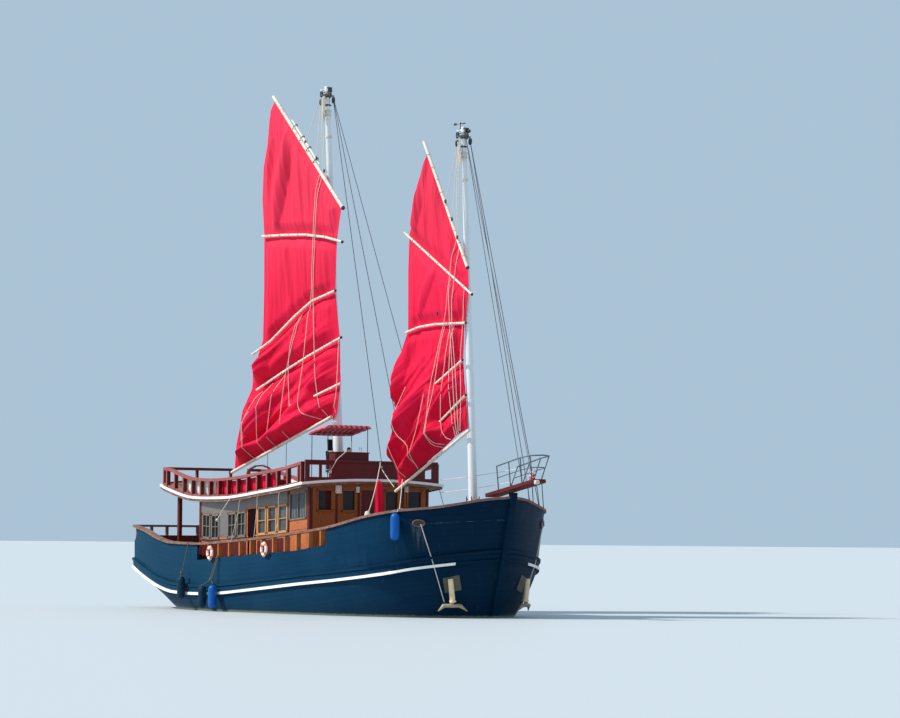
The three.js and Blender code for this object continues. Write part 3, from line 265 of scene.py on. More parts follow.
def hull_paint():
    finish = Finish("hull_paint", "hull_paint", Specular_IOR_Level=0.04)
    x, z, height = sheer_height(finish)
    seam, number = plank_seams(finish, x, height, PLANK)
    patches = finish.noise(0.45, (1, 1, 1.6), 4)
    streaks = finish.noise(2.2, (3.2, 3.2, 0.16), 3, 0.6)
    grime = finish.noise(9.0, (1, 1, 1), 5, 0.65)
    each = (number * 0.618).math("FRACT")
    # Lighter towards the stern and darker towards the bow: painted light aft and painted shade at the bow.
    aft = x.between(7.5, -6.5)
    share = aft * 0.55 + patches.between(0.35, 0.75) * 0.3 + each * 0.08 + streaks * 0.12 - 0.05
    base = finish.mix(share.math("MINIMUM", 1.0), NAVY, NAVY_FADED_AND_SUNLIT)
    base = finish.mix(x.between(6.5, 10.5) * 0.65, base, NAVY_BOW_SHADE)
    runs = streaks.between(0.60, 0.78) * grime.between(0.35, 0.7) * 0.14
    base = finish.mix(runs, base, (0.16, 0.20, 0.22))
    base = finish.mix(seam * 0.55, base, (0.001, 0.005, 0.010))
    below_hawse = (x - 8.9).math("ABSOLUTE").between(0.20, 0.03) * z.between(2.35, 3.2) * z.between(3.5, 3.42)
    base = finish.mix(below_hawse * streaks.between(0.35, 0.6) * 0.45, base, (0.20, 0.21, 0.20))
    wet = z.between(0.30, 0.05)
    edge = z + grime * 0.10
    line = edge.between(0.02, 0.06) * edge.between(0.16, 0.09)
    base = finish.mix(wet * 0.5, base, (0.008, 0.030, 0.036))
    base = finish.mix(line * 0.6, base, SALT)
    base = finish.mix(edge.between(0.05, 0.0), base, ANTIFOULING)
    finish.colour(base)
    finish.rough(0.36 + patches * 0.10 + grime * 0.14 - wet * 0.2)
    swell = finish.noise(0.8, (1, 1, 2.5), 2)
    finish.bump(swell * 1.6 + grime * 0.15 - seam * 0.55, 0.008)
    return finish


HULL = hull_paint()
print("hull paint:", len(HULL.tree.nodes), "nodes")

# %% [markdown]
# ## Woods
# The woods differ in colour, gloss and grain direction, so one function makes them all. Grain is
# noise squeezed across the board and stretched along it. A second, broad noise varies whole boards,
# and a wear mask lets bare grey wood through on weathered pieces.

# %% Woods
ALONG_X = (0.5, 9, 9)
ALONG_Z = (9, 9, 0.5)


def wood(name, slot, light, dark, grain, rough=0.35, worn=(0.35, 0.29, 0.25), wear=0.0, specular=0.16):
    finish = Finish(name, slot, Specular_IOR_Level=specular)
    fibres = finish.noise(7.0, grain, 5, 0.6)
    boards = finish.noise(1.3, tuple(0.3 + 0.1 * k for k in grain), 2)
    spots = finish.noise(3.5, (1, 1, 1), 4, 0.7)
    share = fibres.between(0.32, 0.68) * 0.65 + boards * 0.35
    base = finish.mix(share, dark, light)
    if wear:
        mask = (spots * 0.6 + fibres * 0.4).between(0.62 - 0.25 * wear, 0.72) * wear
        base = finish.mix(mask, base, worn)
    finish.colour(base)
    finish.rough(fibres * 0.18 + spots * 0.14 + (rough - 0.12 + 0.25 * wear))
    finish.bump(fibres * 0.8 + spots * 0.4, 0.004, 0.6)
    return finish


MAHOGANY = wood("mahogany", "mahogany", (0.165, 0.026, 0.026), (0.065, 0.009, 0.011), ALONG_X, wear=0.06)
MAHOGANY_UP = wood("mahogany_upright", "mahogany", (0.155, 0.026, 0.024), (0.060, 0.009, 0.009), ALONG_Z)
RAIL_RED = wood("rail_red", "mahogany", (0.45, 0.135, 0.125), (0.21, 0.045, 0.045), ALONG_X,
                worn=(0.42, 0.25, 0.20), wear=0.35, rough=0.45)
CAP_WOOD = wood("cap_wood", "cap_wood", (0.27, 0.135, 0.10), (0.12, 0.055, 0.042), ALONG_X,
                worn=(0.40, 0.31, 0.29), wear=0.75, rough=0.55)
VARNISH = wood("varnish", "varnish", (0.68, 0.225, 0.085), (0.32, 0.080, 0.024), ALONG_X)
VARNISH_UP = wood("varnish_upright", "varnish", (0.62, 0.215, 0.075), (0.30, 0.085, 0.024), ALONG_Z)
# A darker copy of the varnish: painted shade on the front wall, which faces away from the sun; the end-window
# frames share it.
VARNISH_SHADED_COPY = wood("front_varnish_shaded", "varnish", (0.42, 0.140, 0.040), (0.19, 0.052, 0.014), ALONG_Z)
# The side doors' red mahogany is made almost black: painted shade of the recess they stand in.
DOOR_RED_SHADED = wood("door_red_shaded", "mahogany", (0.022, 0.003, 0.004), (0.009, 0.001, 0.002), ALONG_Z,
                specular=0.03)
print("eight woods")

# %% [markdown]
# ## Deck planks
# Narrow teak planks run fore and aft with dark caulking between them. The seams are drawn across Y
# on Object coordinates, and each plank takes its own shade from its number.

# %% Deck teak


def deck_teak():
    finish = Finish("deck_teak", "teak", 0.7)
    x, y, _ = finish.axes()
    seam, number = plank_seams(finish, x, y, 0.11, 3.4)
    fibres = finish.noise(8.0, (0.5, 10, 10), 4)
    each = (number * 0.618).math("FRACT")
    base = finish.mix(each * 0.5 + fibres * 0.5, (0.20, 0.115, 0.062), (0.42, 0.28, 0.17))
    base = finish.mix(finish.noise(0.9, (1, 1, 1), 3).between(0.5, 0.75) * 0.5, base, (0.33, 0.30, 0.26))
    finish.colour(finish.mix(seam * 0.9, base, (0.015, 0.013, 0.012)))
    finish.rough(fibres * 0.2 + 0.55)
    finish.bump(fibres * 0.5 - seam, 0.003)
    return finish


TEAK = deck_teak()
print("deck teak")

# %% [markdown]
# ## Paints, metals, rope and glass
# The rest is painted wood and metal. White paint yellows and gathers grime, galvanised pipe is dull
# and blotchy, and the anchor is zinc with rust coming through. Window glass is dark and glossy: the
# rooms behind are unlit, so a dark pane shows the same as a clear one and stays solid when exported.

# %% Paints and metals


def coated(name, slot, base, stain, amount=0.3, rough=0.4, metallic=0.0, scale=4.0, stretch=(1, 1, 1),
           relief=0.002, **fixed):
    """Paint or metal with one stain over it in soft patches."""
    finish = Finish(name, slot, metallic=metallic, **fixed)
    patches = finish.noise(scale, stretch, 5, 0.65)
    fine = finish.noise(scale * 7, stretch, 3)
    mask = (patches * 0.75 + fine * 0.25).between(0.66 - 0.35 * amount, 0.76)
    finish.colour(finish.mix(mask * min(1.0, amount * 1.6), base, stain))
    finish.rough(mask * 0.2 + fine * 0.12 + (rough - 0.05))
    finish.bump(fine * 0.6 + patches, relief)
    return finish


WHITE = coated("white_paint", "white_paint", (0.86, 0.85, 0.82), (0.55, 0.50, 0.42), 0.25)
# The frieze's grey paint is made dark: painted shade from the upper deck over it.
FRIEZE_SHADED = coated("grey_paint_and_shade", "white_paint", (0.17, 0.150, 0.145), (0.10, 0.080, 0.070), 0.5,
                stretch=(1, 1, 3))
FRAME_GREY = coated("frame_paint", "white_paint", (0.19, 0.155, 0.125), (0.12, 0.080, 0.055), 0.5)
FRAME_GOLD = coated("frame_varnish", "varnish", (0.56, 0.28, 0.10), (0.30, 0.12, 0.04), 0.5)
MAST = coated("mast_paint", "mast_paint", (0.74, 0.76, 0.78), (0.42, 0.40, 0.35), 0.35, 0.4,
              stretch=(3, 3, 0.35))
STEEL = coated("galvanised", "steel", (0.11, 0.15, 0.18), (0.10, 0.09, 0.08), 0.5, 0.5, 0.2, 9.0)
CHROME = coated("stainless", "steel", (0.68, 0.69, 0.70), (0.5, 0.5, 0.5), 0.2, 0.22, 0.95, 12.0)
ANCHOR = coated("anchor_zinc", "anchor_steel", (0.40, 0.34, 0.23), (0.16, 0.08, 0.04), 0.7, 0.5, 0.25,
                7.0, relief=0.006)
ANCHOR_GILT = coated("anchor_gilt", "anchor_steel", (0.84, 0.64, 0.38), (0.42, 0.24, 0.10), 0.5, 0.4,
                     0.1, 7.0)
WORN_PLATE = coated("worn_plate", "anchor_steel", (0.085, 0.090, 0.062), (0.20, 0.13, 0.04), 0.6, 0.5,
                    0.1, 4.0)
RUSTED = coated("rusted_ring", "anchor_steel", (0.20, 0.10, 0.085), (0.06, 0.022, 0.018), 0.7, 0.6, 0.1, 9.0)
BRONZE = coated("bronze", "bronze", (0.55, 0.36, 0.15), (0.10, 0.22, 0.15), 0.4, 0.35, 0.9, 8.0)
WIRE = coated("wire_rope", "wire", (0.15, 0.16, 0.17), (0.07, 0.07, 0.07), 0.5, 0.5, 0.5, 30.0)
KEEL = coated("keel_timber", "keel_wood", (0.060, 0.040, 0.030), (0.05, 0.08, 0.05), 0.6, 0.7)
BLACK = coated("dark_fitting", "wire", (0.018, 0.018, 0.020), (0.05, 0.045, 0.04), 0.4, 0.5)
print("paints and metals")

# %% Rope and glass


def rope(name, slot, base, groove_shade):
    """Laid rope: the twist is a fine diagonal wave, and the grooves between strands get painted shade."""
    finish = Finish(name, slot, 0.85)
    wave = finish.node("ShaderNodeTexWave", {"bands_direction": "DIAGONAL"},
                       {"Vector": finish.place(), "Scale": 16.0, "Distortion": 2.0})
    fluff = finish.noise(60, (1, 1, 1), 2)
    finish.colour(finish.mix(wave * 0.6 + fluff * 0.4, groove_shade, base))
    finish.bump(wave + fluff * 0.3, 0.003)
    return finish


def glass(name, base, sheen, specular=0.7):
    finish = Finish(name, "white_paint", 0.06, Specular_IOR_Level=specular)
    cloud = finish.noise(1.2, (1, 1, 0.6), 2)
    finish.colour(finish.mix(cloud.between(0.35, 0.7), base, sheen))
    finish.rough(cloud * 0.06 + 0.04)
    return finish


ROPE_PALE = rope("rope_pale", "spar", (0.80, 0.74, 0.64), (0.50, 0.43, 0.34))
ROPE_ROSE = rope("rope_rose", "spar", (0.75, 0.08, 0.16), (0.45, 0.03, 0.07))
ROPE_DARK = rope("rope_dark", "wire", (0.16, 0.15, 0.13), (0.06, 0.055, 0.05))
GLASS = glass("window_glass", (0.018, 0.026, 0.030), (0.085, 0.115, 0.125))
DARK_GLASS = glass("front_glass", (0.010, 0.008, 0.009), (0.022, 0.018, 0.020), 0.25)
VINYL = coated("vinyl_bright", "fender_bright", (0.003, 0.095, 0.38), (0.004, 0.05, 0.17), 0.3, 0.35, scale=5,
               Specular_IOR_Level=0.2)
VINYL_DARK = coated("vinyl_dark", "fender_dark", (0.002, 0.025, 0.055), (0.008, 0.04, 0.06), 0.4, 0.5,
                    Specular_IOR_Level=0.15)
ORANGE = coated("buoy_orange", "white_paint", (0.80, 0.14, 0.02), (0.5, 0.12, 0.04), 0.3, 0.5)
print("rope, glass and vinyl")

# %% [markdown]
# ## Spars
# The yards, battens and booms are pale poles with the bark off: long checks in the surface, slightly
# darker knots, and a skin that has gone silver in places.

# %% Spar wood


def spar_wood():
    finish = Finish("spar_wood", "spar", 0.65)
    checks = finish.noise(6.0, (1.2, 9, 9), 4, 0.6)
    knots = finish.noise(2.4, (1.5, 1.5, 1.5), 3)
    base = finish.mix(checks.between(0.35, 0.65), (0.62, 0.53, 0.41), (0.88, 0.84, 0.76))
    base = finish.mix(knots.between(0.60, 0.72) * 0.6, base, (0.42, 0.30, 0.19))
    finish.colour(base)
    finish.bump(checks - knots.between(0.6, 0.72), 0.006)
    return finish


SPAR = spar_wood()
print("spar wood")

# %% [markdown]
# ## Cloth
# Sailcloth is woven, so light catches the threads and the surface looks soft from every side: the
# Principled sheen does that. Vertical seams join the widths of cloth. The weave itself is far too
# fine to see at this distance, but it breaks the highlights up close. The canopy is the same cloth
# in pale and red stripes.

# %% Sailcloth and canopy


def sailcloth():
    finish = Finish("sailcloth", "sailcloth", 0.75, Sheen_Weight=0.05, Sheen_Roughness=0.45,
                    Sheen_Tint=(1.0, 0.35, 0.45, 1.0), Specular_IOR_Level=0.12)
    x, _, z = finish.axes()
    seam = ((x + z * 0.07) / 0.85).math("FRACT").math("PINGPONG", 0.5).between(0.022, 0.008)
    fade = finish.noise(0.35, (1, 1, 0.6), 3)
    stain = finish.noise(1.6, (1.4, 1, 0.4), 5, 0.7)
    threads = finish.noise(120.0, (1, 1, 1), 2)
    base = finish.mix(fade.between(0.3, 0.72), (0.60, 0.003, 0.036), (0.78, 0.009, 0.058))
    # Lighter and pinker towards the top: painted light where the sun falls on the upper sail.
    base = finish.mix(z.between(10.0, 18.0) * 0.55, base, (0.84, 0.060, 0.115))
    base = finish.mix(stain.between(0.60, 0.80) * 0.35, base, (0.45, 0.002, 0.024))
    base = finish.mix(seam * 0.30, base, (0.36, 0.004, 0.020))
    finish.colour(base)
    finish.rough(threads * 0.2 + 0.62)
    finish.bump(threads * 0.4 + seam * 1.5, 0.003)
    return finish


def striped_canvas():
    finish = Finish("striped_canvas", "canopy_cloth", 0.8, Specular_IOR_Level=0.1)
    x, y, _ = finish.axes()
    band = ((y + x * 0.02) / 0.24).math("FRACT").math("PINGPONG", 0.5).between(0.22, 0.25)
    threads = finish.noise(160.0, (1, 1, 1), 2)
    fade = finish.noise(2.0, (1, 1, 1), 3)
    base = finish.mix(band, (0.32, 0.012, 0.030), (0.60, 0.14, 0.19))
    finish.colour(finish.mix(fade * 0.2, base, (0.62, 0.24, 0.28)))
    finish.bump(threads, 0.002)
    return finish


def plain_cloth(name, slot, light, dark):
    finish = Finish(name, slot, 0.85, Sheen_Weight=0.04, Specular_IOR_Level=0.1)
    folds = finish.noise(2.5, (1, 1, 0.4), 4)
    threads = finish.noise(140.0, (1, 1, 1), 2)
    # The fold noise also darkens the colour where the cloth dips: painted shade in the folds.
    finish.colour(finish.mix(folds, dark, light))
    finish.bump(threads * 0.5 + folds, 0.003)
    return finish


SAILCLOTH = sailcloth()
CANVAS = striped_canvas()
RED_CLOTH = plain_cloth("red_canvas", "sailcloth", (0.82, 0.008, 0.060), (0.52, 0.003, 0.026))
WHITE_CLOTH = plain_cloth("white_canvas", "canopy_cloth", (0.80, 0.77, 0.72), (0.62, 0.58, 0.54))
CURTAIN = plain_cloth("curtain", "canopy_cloth", (0.21, 0.24, 0.255), (0.085, 0.10, 0.115))
LEATHER = plain_cloth("seat_leather", "canopy_cloth", (0.035, 0.020, 0.016), (0.016, 0.009, 0.008))
print("six cloths")

# %% [markdown]
# ## Mesh helpers
# Every new piece starts as an empty bmesh that fills up with a few shapes: blocks, rods, rings and
# turned profiles. One function then closes it: it turns the faces outwards, marks the sharp edges,
# adds a small bevel where asked, and hangs the piece on its body.

# %% Shapes


def standing(a, b):
    """A matrix that lays +Z along the line from a to b, about its middle."""
    a, b = Vector(a), Vector(b)
    turn = (b - a).to_track_quat("Z", "Y").to_matrix().to_4x4()
    return Matrix.Translation((a + b) / 2) @ turn


def block(bm, low, high):
    middle = [(a + b) / 2 for a, b in zip(low, high)]
    size = [b - a for a, b in zip(low, high)]
    place = Matrix.Translation(middle) @ Matrix.Diagonal((*size, 1))
    bmesh.ops.create_cube(bm, size=1, matrix=place)


def board(bm, a, b, across, wide, thick):
    """A plank from a to b, wide along the direction across."""
    a, b, side = Vector(a), Vector(b), Vector(across)
    along = (b - a).normalized()
    side = (side - along * side.dot(along)).normalized()
    turn = Matrix((side, along.cross(side), along)).transposed().to_4x4()
    size = Matrix.Diagonal((wide, thick, (b - a).length, 1))
    bmesh.ops.create_cube(bm, size=1, matrix=Matrix.Translation((a + b) / 2) @ turn @ size)


def rod(bm, a, b, radius, end_radius=None, sides=12):
    length = (Vector(b) - Vector(a)).length
    bmesh.ops.create_cone(bm, cap_ends=True, segments=sides, radius1=radius,
                          radius2=radius if end_radius is None else end_radius, depth=length,
                          matrix=standing(a, b))


def slab(bm, corners, push):
    """A flat outline pushed out by a vector into a solid."""
    face = bm.faces.new([bm.verts.new(corner) for corner in corners])
    made = bmesh.ops.extrude_face_region(bm, geom=[face], use_keep_orig=True)["geom"]
    bmesh.ops.translate(bm, verts=[v for v in made if isinstance(v, bmesh.types.BMVert)], vec=push)


def turned(bm, profile, place, steps=24):
    """Spins a profile of (radius, height) round Z, then puts it in place."""
    before = set(bm.verts)
    points = [bm.verts.new((radius, 0, height)) for radius, height in profile]
    edges = [bm.edges.new(pair) for pair in zip(points, points[1:])]
    bmesh.ops.spin(bm, geom=points + edges, axis=(0, 0, 1), cent=(0, 0, 0), steps=steps,
                   angle=math.tau, use_merge=True)
    fresh = [v for v in bm.verts if v not in before]
    bmesh.ops.remove_doubles(bm, verts=fresh, dist=1e-5)
    fresh = [v for v in bm.verts if v not in before]
    bmesh.ops.transform(bm, matrix=place, verts=fresh)


def ring(bm, place, radius, thick, steps=32, sides=10, squash=1.0, sweep=math.tau):
    """A torus about Z, or a part of one, put in place by a matrix."""
    before = set(bm.verts)
    section = Matrix.Translation((radius, 0, 0)) @ Matrix.Rotation(math.pi / 2, 4, "X")
    made = bmesh.ops.create_circle(bm, segments=sides, radius=thick, matrix=section)["verts"]
    edges = list({e for v in made for e in v.link_edges})
    whole = sweep == math.tau
    bmesh.ops.spin(bm, geom=made + edges, axis=(0, 0, 1), cent=(0, 0, 0), steps=steps,
                   angle=sweep, use_merge=whole)
    fresh = [v for v in bm.verts if v not in before]
    if not whole:
        open_edges = [e for e in {e for v in fresh for e in v.link_edges} if e.is_boundary]
        bmesh.ops.holes_fill(bm, edges=open_edges)
    bmesh.ops.transform(bm, matrix=place @ Matrix.Diagonal((1, squash, 1, 1)), verts=fresh)


def ball(bm, place, radius, around=14, down=8):
    bmesh.ops.create_uvsphere(bm, u_segments=around, v_segments=down, radius=radius,
                              matrix=Matrix.Translation(place))


def tied(bm, place, radius, thick):
    """A knot: three rings about one place, each turned another way."""
    for k in range(3):
        turn = Matrix.Rotation(1.1 * k, 4, "X") @ Matrix.Rotation(0.8 * k, 4, "Y")
        ring(bm, Matrix.Translation(place) @ turn, radius, thick, 14, 8)


print("block, board, rod, slab, turned, ring, ball and tied")

# %% Finishing a piece


def hang(obj, body, replaces):
    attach(obj, body)
    if replaces:
        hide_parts(*replaces)
    return obj


def piece(bm, name, finish, body="ship", replaces=(), sharp=35, bevel=0.0, levels=0, outward=True):
    """Makes an object from a bmesh and hangs it on a body."""
    if outward:
        bmesh.ops.recalc_face_normals(bm, faces=bm.faces)
    mesh = bpy.data.meshes.new(name)
    bm.to_mesh(mesh)
    bm.free()
    mesh.shade_smooth()
    mesh.set_sharp_from_angle(angle=math.radians(sharp))
    finishes = finish if isinstance(finish, (list, tuple)) else [finish]
    for one in finishes:
        mesh.materials.append(one.material)
    obj = bpy.data.objects.new(name, mesh)
    scene.collection.objects.link(obj)
    if bevel:
        soft = obj.modifiers.new("bevel", "BEVEL")
        soft.width, soft.segments, soft.limit_method = bevel, 2, "ANGLE"
        soft.angle_limit = math.radians(40)
    if levels:
        round_off = obj.modifiers.new("subdivision", "SUBSURF")
        round_off.levels = round_off.render_levels = levels
    return hang(obj, body, replaces)


def thicken(obj, thick, offset=-1.0):
    walls = obj.modifiers.new("thickness", "SOLIDIFY")
    walls.thickness, walls.offset = thick, offset


def lines(name, finish, radius, routes, body="ship"):
    """Ropes, wires or pipes along routes of points, as one piece."""
    curve = bpy.data.curves.new(name, "CURVE")
    curve.dimensions = "3D"
    curve.bevel_depth, curve.bevel_resolution, curve.use_fill_caps = radius, 2, True
    for route in routes:
        spline = curve.splines.new("POLY")
        spline.points.add(len(route) - 1)
        for point, place in zip(spline.points, route):
            point.co = (*place, 1)
    curve.materials.append(finish.material)
    obj = bpy.data.objects.new(name, curve)
    scene.collection.objects.link(obj)
    return hang(obj, body, ())


def sagging(a, b, sag=0.04, count=10):
    """Points from a to b along a rope that sags by a share of its length."""
    a, b = Vector(a), Vector(b)
    drop = sag * (b - a).length
    return [a.lerp(b, t) - Vector((0, 0, drop * 4 * t * (1 - t))) for t in
            (k / count for k in range(count + 1))]


print("piece, thicken, lines and sagging")

# %% [markdown]
# ## Heights along the ship
# The rail, the wale and the decks are long curves. The CAD part keeps them as short tables of places
# and heights, and the joinery here has to follow the same ones, so they are written again.

# %% Tables
# Each row is x, then heights or half-breadths.
RAIL_TOP = [(-11, 3.35), (-9.35, 3.14), (-8.05, 2.86), (-6.83, 2.70), (-4.5, 2.66), (-2.5, 2.74), (0, 2.89),
            (2.04, 3.06), (4.5, 3.31), (6.84, 3.72), (8.3, 3.94), (9.2, 4.05), (9.9, 4.22), (10.74, 4.46)]
WALE_FOOT = [(-11, 1.60), (-9.2, 1.19), (-7.6, 0.83), (-6.3, 0.65), (-4.5, 0.61), (-2.9, 0.65), (0, 0.86),
             (2.7, 1.09), (5.3, 1.29), (7.87, 1.53), (9.0, 1.74), (10.1, 1.96), (10.74, 2.10)]
DECK = [(-11, 2.30), (-8, 1.95), (-4.5, 1.70), (0, 1.98), (4.5, 2.36), (5, 2.40)]
UPPER_SIDE = [(-8.88, 2.36, 4.97), (-8.2, 2.67, 4.87), (-7.4, 2.78, 4.71), (-6.5, 2.86, 4.54),
              (-5.8, 2.92, 4.46), (-4.6, 3.02, 4.43), (-3.2, 3.13, 4.44), (-2.2, 3.18, 4.50),
              (-0.8, 3.24, 4.64), (1.0, 3.30, 4.81), (2.2, 3.32, 4.97)]
UPPER_CROWN = 0.16
DECK_THICK = 0.13


def look(table, x, column=1):
    """A straight-line look-up."""
    x = min(max(x, table[0][0]), table[-1][0])
    for low, high in zip(table, table[1:]):
        if x <= high[0]:
            share = (x - low[0]) / (high[0] - low[0])
            return low[column] + share * (high[column] - low[column])
    return table[-1][column]


def upper_top(x, y=0.0):
    """The top of the upper deck, which is crowned across."""
    return look(UPPER_SIDE, x, 2) + UPPER_CROWN * (1 - (y / look(UPPER_SIDE, x)) ** 2)


print("rail at midships", look(RAIL_TOP, 0), "deck", look(DECK, 0))

# %% [markdown]
# Some fittings sit on curved surfaces of the CAD model. A ray shot at a node finds the exact place,
# which is safer than repeating the hull's lines here.

# %% Rays at the CAD model


def tree_of(*names):
    """A search tree over some CAD nodes."""
    verts, faces = [], []
    for name in names:
        start = len(verts)
        data = nodes[name].data
        verts.extend(v.co.copy() for v in data.vertices)
        faces.extend([start + k for k in face.vertices] for face in data.polygons)
    return BVHTree.FromPolygons(verts, faces)


SIDE_TREE = tree_of("hull", "bulwark_starboard", "bulwark_port", "wale_starboard", "wale_port")
CAP_TREE = tree_of("rail_cap_starboard", "rail_cap_port")
STARBOARD, PORT = -1, 1
# A ray that runs exactly along an edge between two faces can miss both, so it starts a little off.
NUDGE = 0.0013


def hull_side(x, z, side=STARBOARD):
    """The place and outward direction of the hull's side."""
    start = Vector((x + NUDGE, 9 * side, z + NUDGE))
    place, normal, _, _ = SIDE_TREE.ray_cast(start, Vector((0, -side, 0)))
    return place, (normal if normal.y * side > 0 else -normal)


def cap_top(x, y):
    """The top of the rail cap under a point."""
    place, _, _, _ = CAP_TREE.ray_cast(Vector((x, y, 8)), Vector((0, 0, -1)))
    return place


print("side at x 0, z 2:", [round(v, 2) for v in hull_side(0, 2.0)[0]])

# %% [markdown]
# ## Dressing the CAD timbers
# A CAD node is a bag of loose triangles with hard edges. Where its shape is right it only needs
# welding, smooth shading and edges that aren't razor sharp. The welded copy replaces the node. Flat
# neighbours are dissolved into whole faces first, so that a bevel follows the real edges. The deck's
# edge band is long and curved, so it is painted before that, while its faces are still short.

# %% Dressing function


def colour_faces(bm, paint):
    for face in bm.faces:
        face.material_index = paint(face.calc_center_median(), face.normal)


def dressed(name, finish, bevel=0.0, sharp=35, paint=None, paint_first=False, fatten=0.0):
    """A welded, smooth-shaded copy that replaces a CAD node. paint picks a finish for each face."""
    bm = bmesh.new()
    bm.from_mesh(nodes[name].data)
    bmesh.ops.remove_doubles(bm, verts=bm.verts, dist=1e-4)
    if fatten:
        bm.normal_update()
        for vert in bm.verts:
            vert.co += vert.normal * fatten
    if paint and paint_first:
        colour_faces(bm, paint)
    bmesh.ops.dissolve_limit(bm, angle_limit=math.radians(0.6), verts=bm.verts, edges=bm.edges,
                             delimit={"MATERIAL"})
    if paint and not paint_first:
        colour_faces(bm, paint)
    return piece(bm, name + "_dressed", finish, nodes[name]["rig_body"], (name,), sharp, bevel, outward=False)


# Hull, bulwarks, wales and keel.
def hull_faces(middle, normal):
    return 1 if normal.z > 0.8 and middle.z > 1.2 else 0


def bulwark_faces(middle, normal):
    return 1 if normal.y * middle.y < 0 and abs(normal.y) > 0.2 else 0


def wale_faces(middle, normal):
    low = middle.z < look(WALE_FOOT, middle.x) + 0.14
    return 1 if low and middle.x < 9.57 and normal.z > -0.9 else 0


dressed("hull", [HULL, TEAK], sharp=32, paint=hull_faces)
for side_name in ("starboard", "port"):
    dressed(f"bulwark_{side_name}", [HULL, MAHOGANY], sharp=32, paint=bulwark_faces)
    dressed(f"wale_{side_name}", [HULL, WHITE], sharp=32, paint=wale_faces)
dressed("backbone", HULL, bevel=0.015)
print("hull dressed")

# %% Rails, posts and other timbers


def cap_faces(middle, normal):
    return 1 if abs(middle.x) < 4.6 and middle.z < look(RAIL_TOP, middle.x) - 0.13 else 0


BAND_FRONT, BAND_WHITE = 2.25, 0.105
UPPER_DECK_TREE = tree_of("upper_deck")


# Faces that look fore or aft take the dark mahogany: painted shade on the board ends; the other faces keep
# the red rail finish.
def rail_end_faces_shaded(middle, normal):
    return 1 if abs(normal.x) > 0.7 else 0


def band_faces(middle, normal):
    if normal.x > 0.7:
        return 0 if middle.x > BAND_FRONT else 1
    x = min(max(middle.x, -8.86), 2.18)
    above = Vector((x, middle.y * 0.96, 8))
    top, _, _, _ = UPPER_DECK_TREE.ray_cast(above, Vector((0, 0, -1)))
    return 1 if middle.z < top.z - BAND_WHITE else 0


for side_name in ("starboard", "port"):
    dressed(f"rail_cap_{side_name}", [CAP_WOOD, VARNISH_UP], bevel=0.012, paint=cap_faces)
    dressed(f"post_{side_name}", MAHOGANY_UP, bevel=0.012)
dressed("upper_rail", [RAIL_RED, MAHOGANY_UP], bevel=0.008, paint=rail_end_faces_shaded)
dressed("deck_edge_band", [WHITE, CAP_WOOD], bevel=0.006, paint=band_faces, paint_first=True)
dressed("upper_deck", TEAK)
dressed("front_panel", MAHOGANY, bevel=0.006)
dressed("bow_platform", MAHOGANY, bevel=0.015)
for name in ("fore_bitts", "stern_bitts", "aft_bench", "helm_console"):
    dressed(name, MAHOGANY, bevel=0.012)
print("timbers dressed")

# %% House walls, doors, masts and metal
for side_name in ("starboard", "port"):
    dressed(f"deckhouse_{side_name}", VARNISH, bevel=0.004)
    dressed(f"{side_name}_door", DOOR_RED_SHADED, bevel=0.004)
dressed("deckhouse_front", VARNISH_SHADED_COPY, bevel=0.004)
dressed("deckhouse_aft", VARNISH_UP, bevel=0.004)
dressed("front_door", MAHOGANY_UP, bevel=0.004)
dressed("aft_door", MAHOGANY_UP, bevel=0.004)
for name in ("main_mast", "fore_mast"):
    dressed(name, MAST, bevel=0.006)
for name in ("main_stays", "fore_stays"):
    dressed(name, WIRE)
dressed("pulpit_rail", STEEL, sharp=60, fatten=0.006)
dressed("canopy_frame", STEEL, sharp=60)
for name in ("anchor_starboard", "anchor_port"):
    dressed(name, ANCHOR, bevel=0.012, sharp=45)
dressed("helm_wheel", VARNISH, sharp=45)
dressed("propeller", BRONZE, bevel=0.004)
dressed("propeller_shaft", CHROME)
dressed("rudder", KEEL, bevel=0.01)
SPARS = [name for name in nodes if name.endswith(("_yard", "_boom")) or "_batten_" in name]
for name in SPARS:
    dressed(name, SPAR, sharp=60)
print(len(SPARS), "spars dressed")

# %% [markdown]
# ## Windows
# A window is a hole in the wall with a frame, a pane and glazing bars. The side windows follow the
# sheer of the deck, so each is a tilted quadrilateral. Building a frame from its four corners lets
# the same function serve the sides, the front and the stern. Frames stand a little proud of the wall.

# %% Window frames
HOUSE_SIDE, HOUSE_FRONT, HOUSE_AFT = 2.81, 2.03, -5.45


def framed(bm, corners, out, wide=0.07, thick=0.075):
    """Four boards round an opening."""
    for a, b in zip(corners, corners[1:] + corners[:1]):
        way = (b - a).normalized() * wide / 2
        board(bm, a - way, b + way, out.cross(way), wide, thick)


def glazing(bars_bm, glass_bm, corners, out, rows=1, columns=0, bar=0.035):
    """Bars and a pane inside a frame. corners run from the low left one round to the upper left."""
    low_a, low_b, high_b, high_a = corners
    for k in range(1, rows + 1):
        t = k / (rows + 1)
        board(bars_bm, low_a.lerp(high_a, t), low_b.lerp(high_b, t), Vector((0, 0, 1)), bar, 0.05)
    for k in range(1, columns + 1):
        t = k / (columns + 1)
        board(bars_bm, low_a.lerp(low_b, t), high_a.lerp(high_b, t), low_b - low_a, bar, 0.045)
    slab(glass_bm, [corner - out * 0.035 for corner in corners], -out * 0.008)


